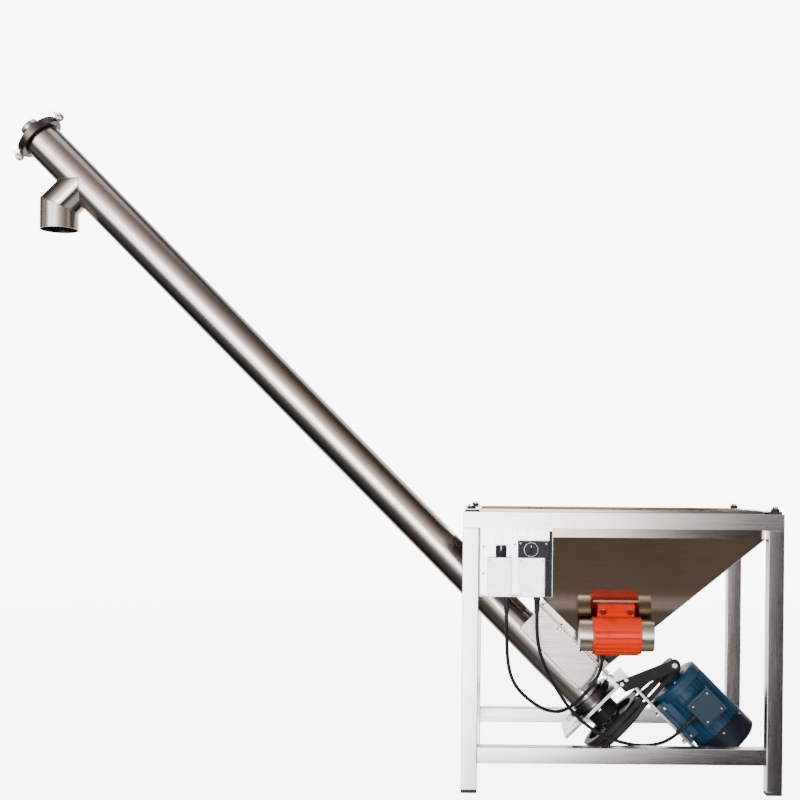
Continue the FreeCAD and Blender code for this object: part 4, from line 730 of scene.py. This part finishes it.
def soft_light(name, place, target, width, height, power, mirrored=True):
    """A rectangle of light, in metres and watts, that the steel mirrors or not."""
    data = bpy.data.lights.new(name, "AREA")
    data.shape = "RECTANGLE"
    data.size, data.size_y = width, height
    data.energy = power
    light = bpy.data.objects.new(name, data)
    light.location = place
    light.visible_glossy = mirrored
    light.rotation_euler = (Vector(target) - Vector(place)).to_track_quat("-Z", "Y").to_euler()
    scene.collection.objects.link(light)


soft_light("front", (-0.9, -6.4, 1.7), (-0.1, 0, 0.9), 4.4, 2.2, 1300, mirrored=False)
soft_light("above", (0.4, -0.6, 5.2), (0.2, 0, 0), 4.0, 2.5, 130, mirrored=False)
soft_light("behind", (-3.2, 5.2, 3.6), (0.2, 0, 0.8), 2.6, 2.6, 240)


# The world: the camera sees a plain backdrop, everything else the room that the steel mirrors

world = bpy.data.worlds.new("studio")
world.use_nodes = True
scene.world = world
sky = Nodes(world.node_tree)
sky.tree.nodes.clear()
direction = sky.add("TexCoord").outputs["Generated"]


def facing(axis, steps):
    """A glow by how nearly a direction follows an axis: steps of (measure from -1 to 1, colour)."""
    towards = sky.add("VectorMath", {0: direction, 1: Vector(axis).normalized()},
                      operation="DOT_PRODUCT")
    ramp = sky.add("ValToRGB", {"Fac": sky.spread(towards.outputs["Value"], 0, 1, -1, 1)})
    while len(ramp.color_ramp.elements) < len(steps):
        ramp.color_ramp.elements.new(0.5)
    for element, (measure, colour) in zip(ramp.color_ramp.elements, steps):
        element.position = (measure + 1) / 2
        element.color = opaque(colour if isinstance(colour, tuple) else (colour,) * 3)
    return ramp.outputs["Color"]


ROOM_STRENGTH = 10.0
# The bright wall is behind the camera
WALL = [(-1.0, (0.0020, 0.0018, 0.0017)), (0.0, (0.0060, 0.0050, 0.0044)),
        (0.14, (0.016, 0.013, 0.011)), (0.38, (0.032, 0.026, 0.022)), (0.57, (0.052, 0.044, 0.038)),
        (0.73, (0.085, 0.075, 0.068)), (0.86, (0.14, 0.13, 0.125)), (0.92, (0.22, 0.215, 0.21)),
        (0.955, (0.5, 0.495, 0.49)), (0.98, (1.0, 1.0, 1.0))]
# It ends on the right, below eye level, and fades towards the floor
WALL_END = [(-0.75, 0.45), (-0.50, 0.18), (-0.34, (0.030, 0.026, 0.024)),
            (-0.19, (0.009, 0.0075, 0.0065)), (-0.16, (0.016, 0.0135, 0.0125)), (-0.135, 0.05),
            (-0.11, 0.3), (-0.08, 1.0)]
EYE_LEVEL = [(0.0, 0.0), (0.14, 1.0)]
WALL_FOOT = [(-0.60, (0.15, 0.165, 0.18)), (-0.44, (0.21, 0.22, 0.235)), (-0.34, 0.17),
             (-0.25, 0.34), (-0.16, 1.0)]
# A band of light on the back wall at eye level
BAND = [(0.90, 0.0), (0.96, 0.35)]
BAND_LEVEL = [(-0.06, 0.0), (-0.02, 1.0), (0.04, 1.0), (0.08, 0.0)]
# Glows on top of these, each with its axis. The view from the front mirrors the first two, the
# views from other sides the rest.
GLOWS = {
    "left": ((-0.62, -0.78, 0.05), [(0.90, 0.0), (0.95, 0.10), (0.985, 0.35)]),
    "floor": ((0, 0, 1), [(-0.93, (0.028, 0.0225, 0.0185)), (-0.82, (0.019, 0.015, 0.0125)),
                          (-0.72, 0.0)]),
    "back": ((0, 1, 0), [(0.55, 0.0), (0.74, 0.11), (0.92, 0.22)]),
    "ceiling": ((0, 0, 1), [(0.87, 0.0), (0.98, 0.22)]),
    "right end": ((1, 0, 0), [(0.84, 0.0), (0.96, 0.06)]),
    "left end": ((-1, 0, 0), [(0.90, 0.0), (0.98, 0.04)]),
    "upper corner": ((0.58, 0.58, 0.57), [(0.955, 0.0), (0.985, 0.07)]),
    "lower corner": ((0.62, -0.53, -0.58), [(0.88, 0.0), (0.97, 0.07)]),
}

wall_edge = sky.mix(1, facing((-0.949, 0, 0.316), WALL_END), facing((0, 0, 1), EYE_LEVEL),
                    "LIGHTEN")
room = sky.mix(1, facing((-0.17, -1, -0.13), WALL), wall_edge, "MULTIPLY")
room = sky.mix(1, room, facing((0, 0, 1), WALL_FOOT), "MULTIPLY")
band = sky.mix(1, facing((0, 1, 0), BAND), facing((0, 0, 1), BAND_LEVEL), "MULTIPLY")
room = sky.mix(1, room, band, "ADD")
for axis, steps in GLOWS.values():
    room = sky.mix(1, room, facing(axis, steps), "ADD")
seen = sky.add("Background", {"Color": opaque(BACKDROP), "Strength": BACKDROP_STRENGTH})
mirrored = sky.add("Background", {"Color": room, "Strength": ROOM_STRENGTH})
choice = sky.add("MixShader", {"Fac": sky.add("LightPath").outputs["Is Camera Ray"],
                               1: mirrored.outputs["Background"], 2: seen.outputs["Background"]})
sky.add("OutputWorld", {"Surface": choice.outputs["Shader"]})
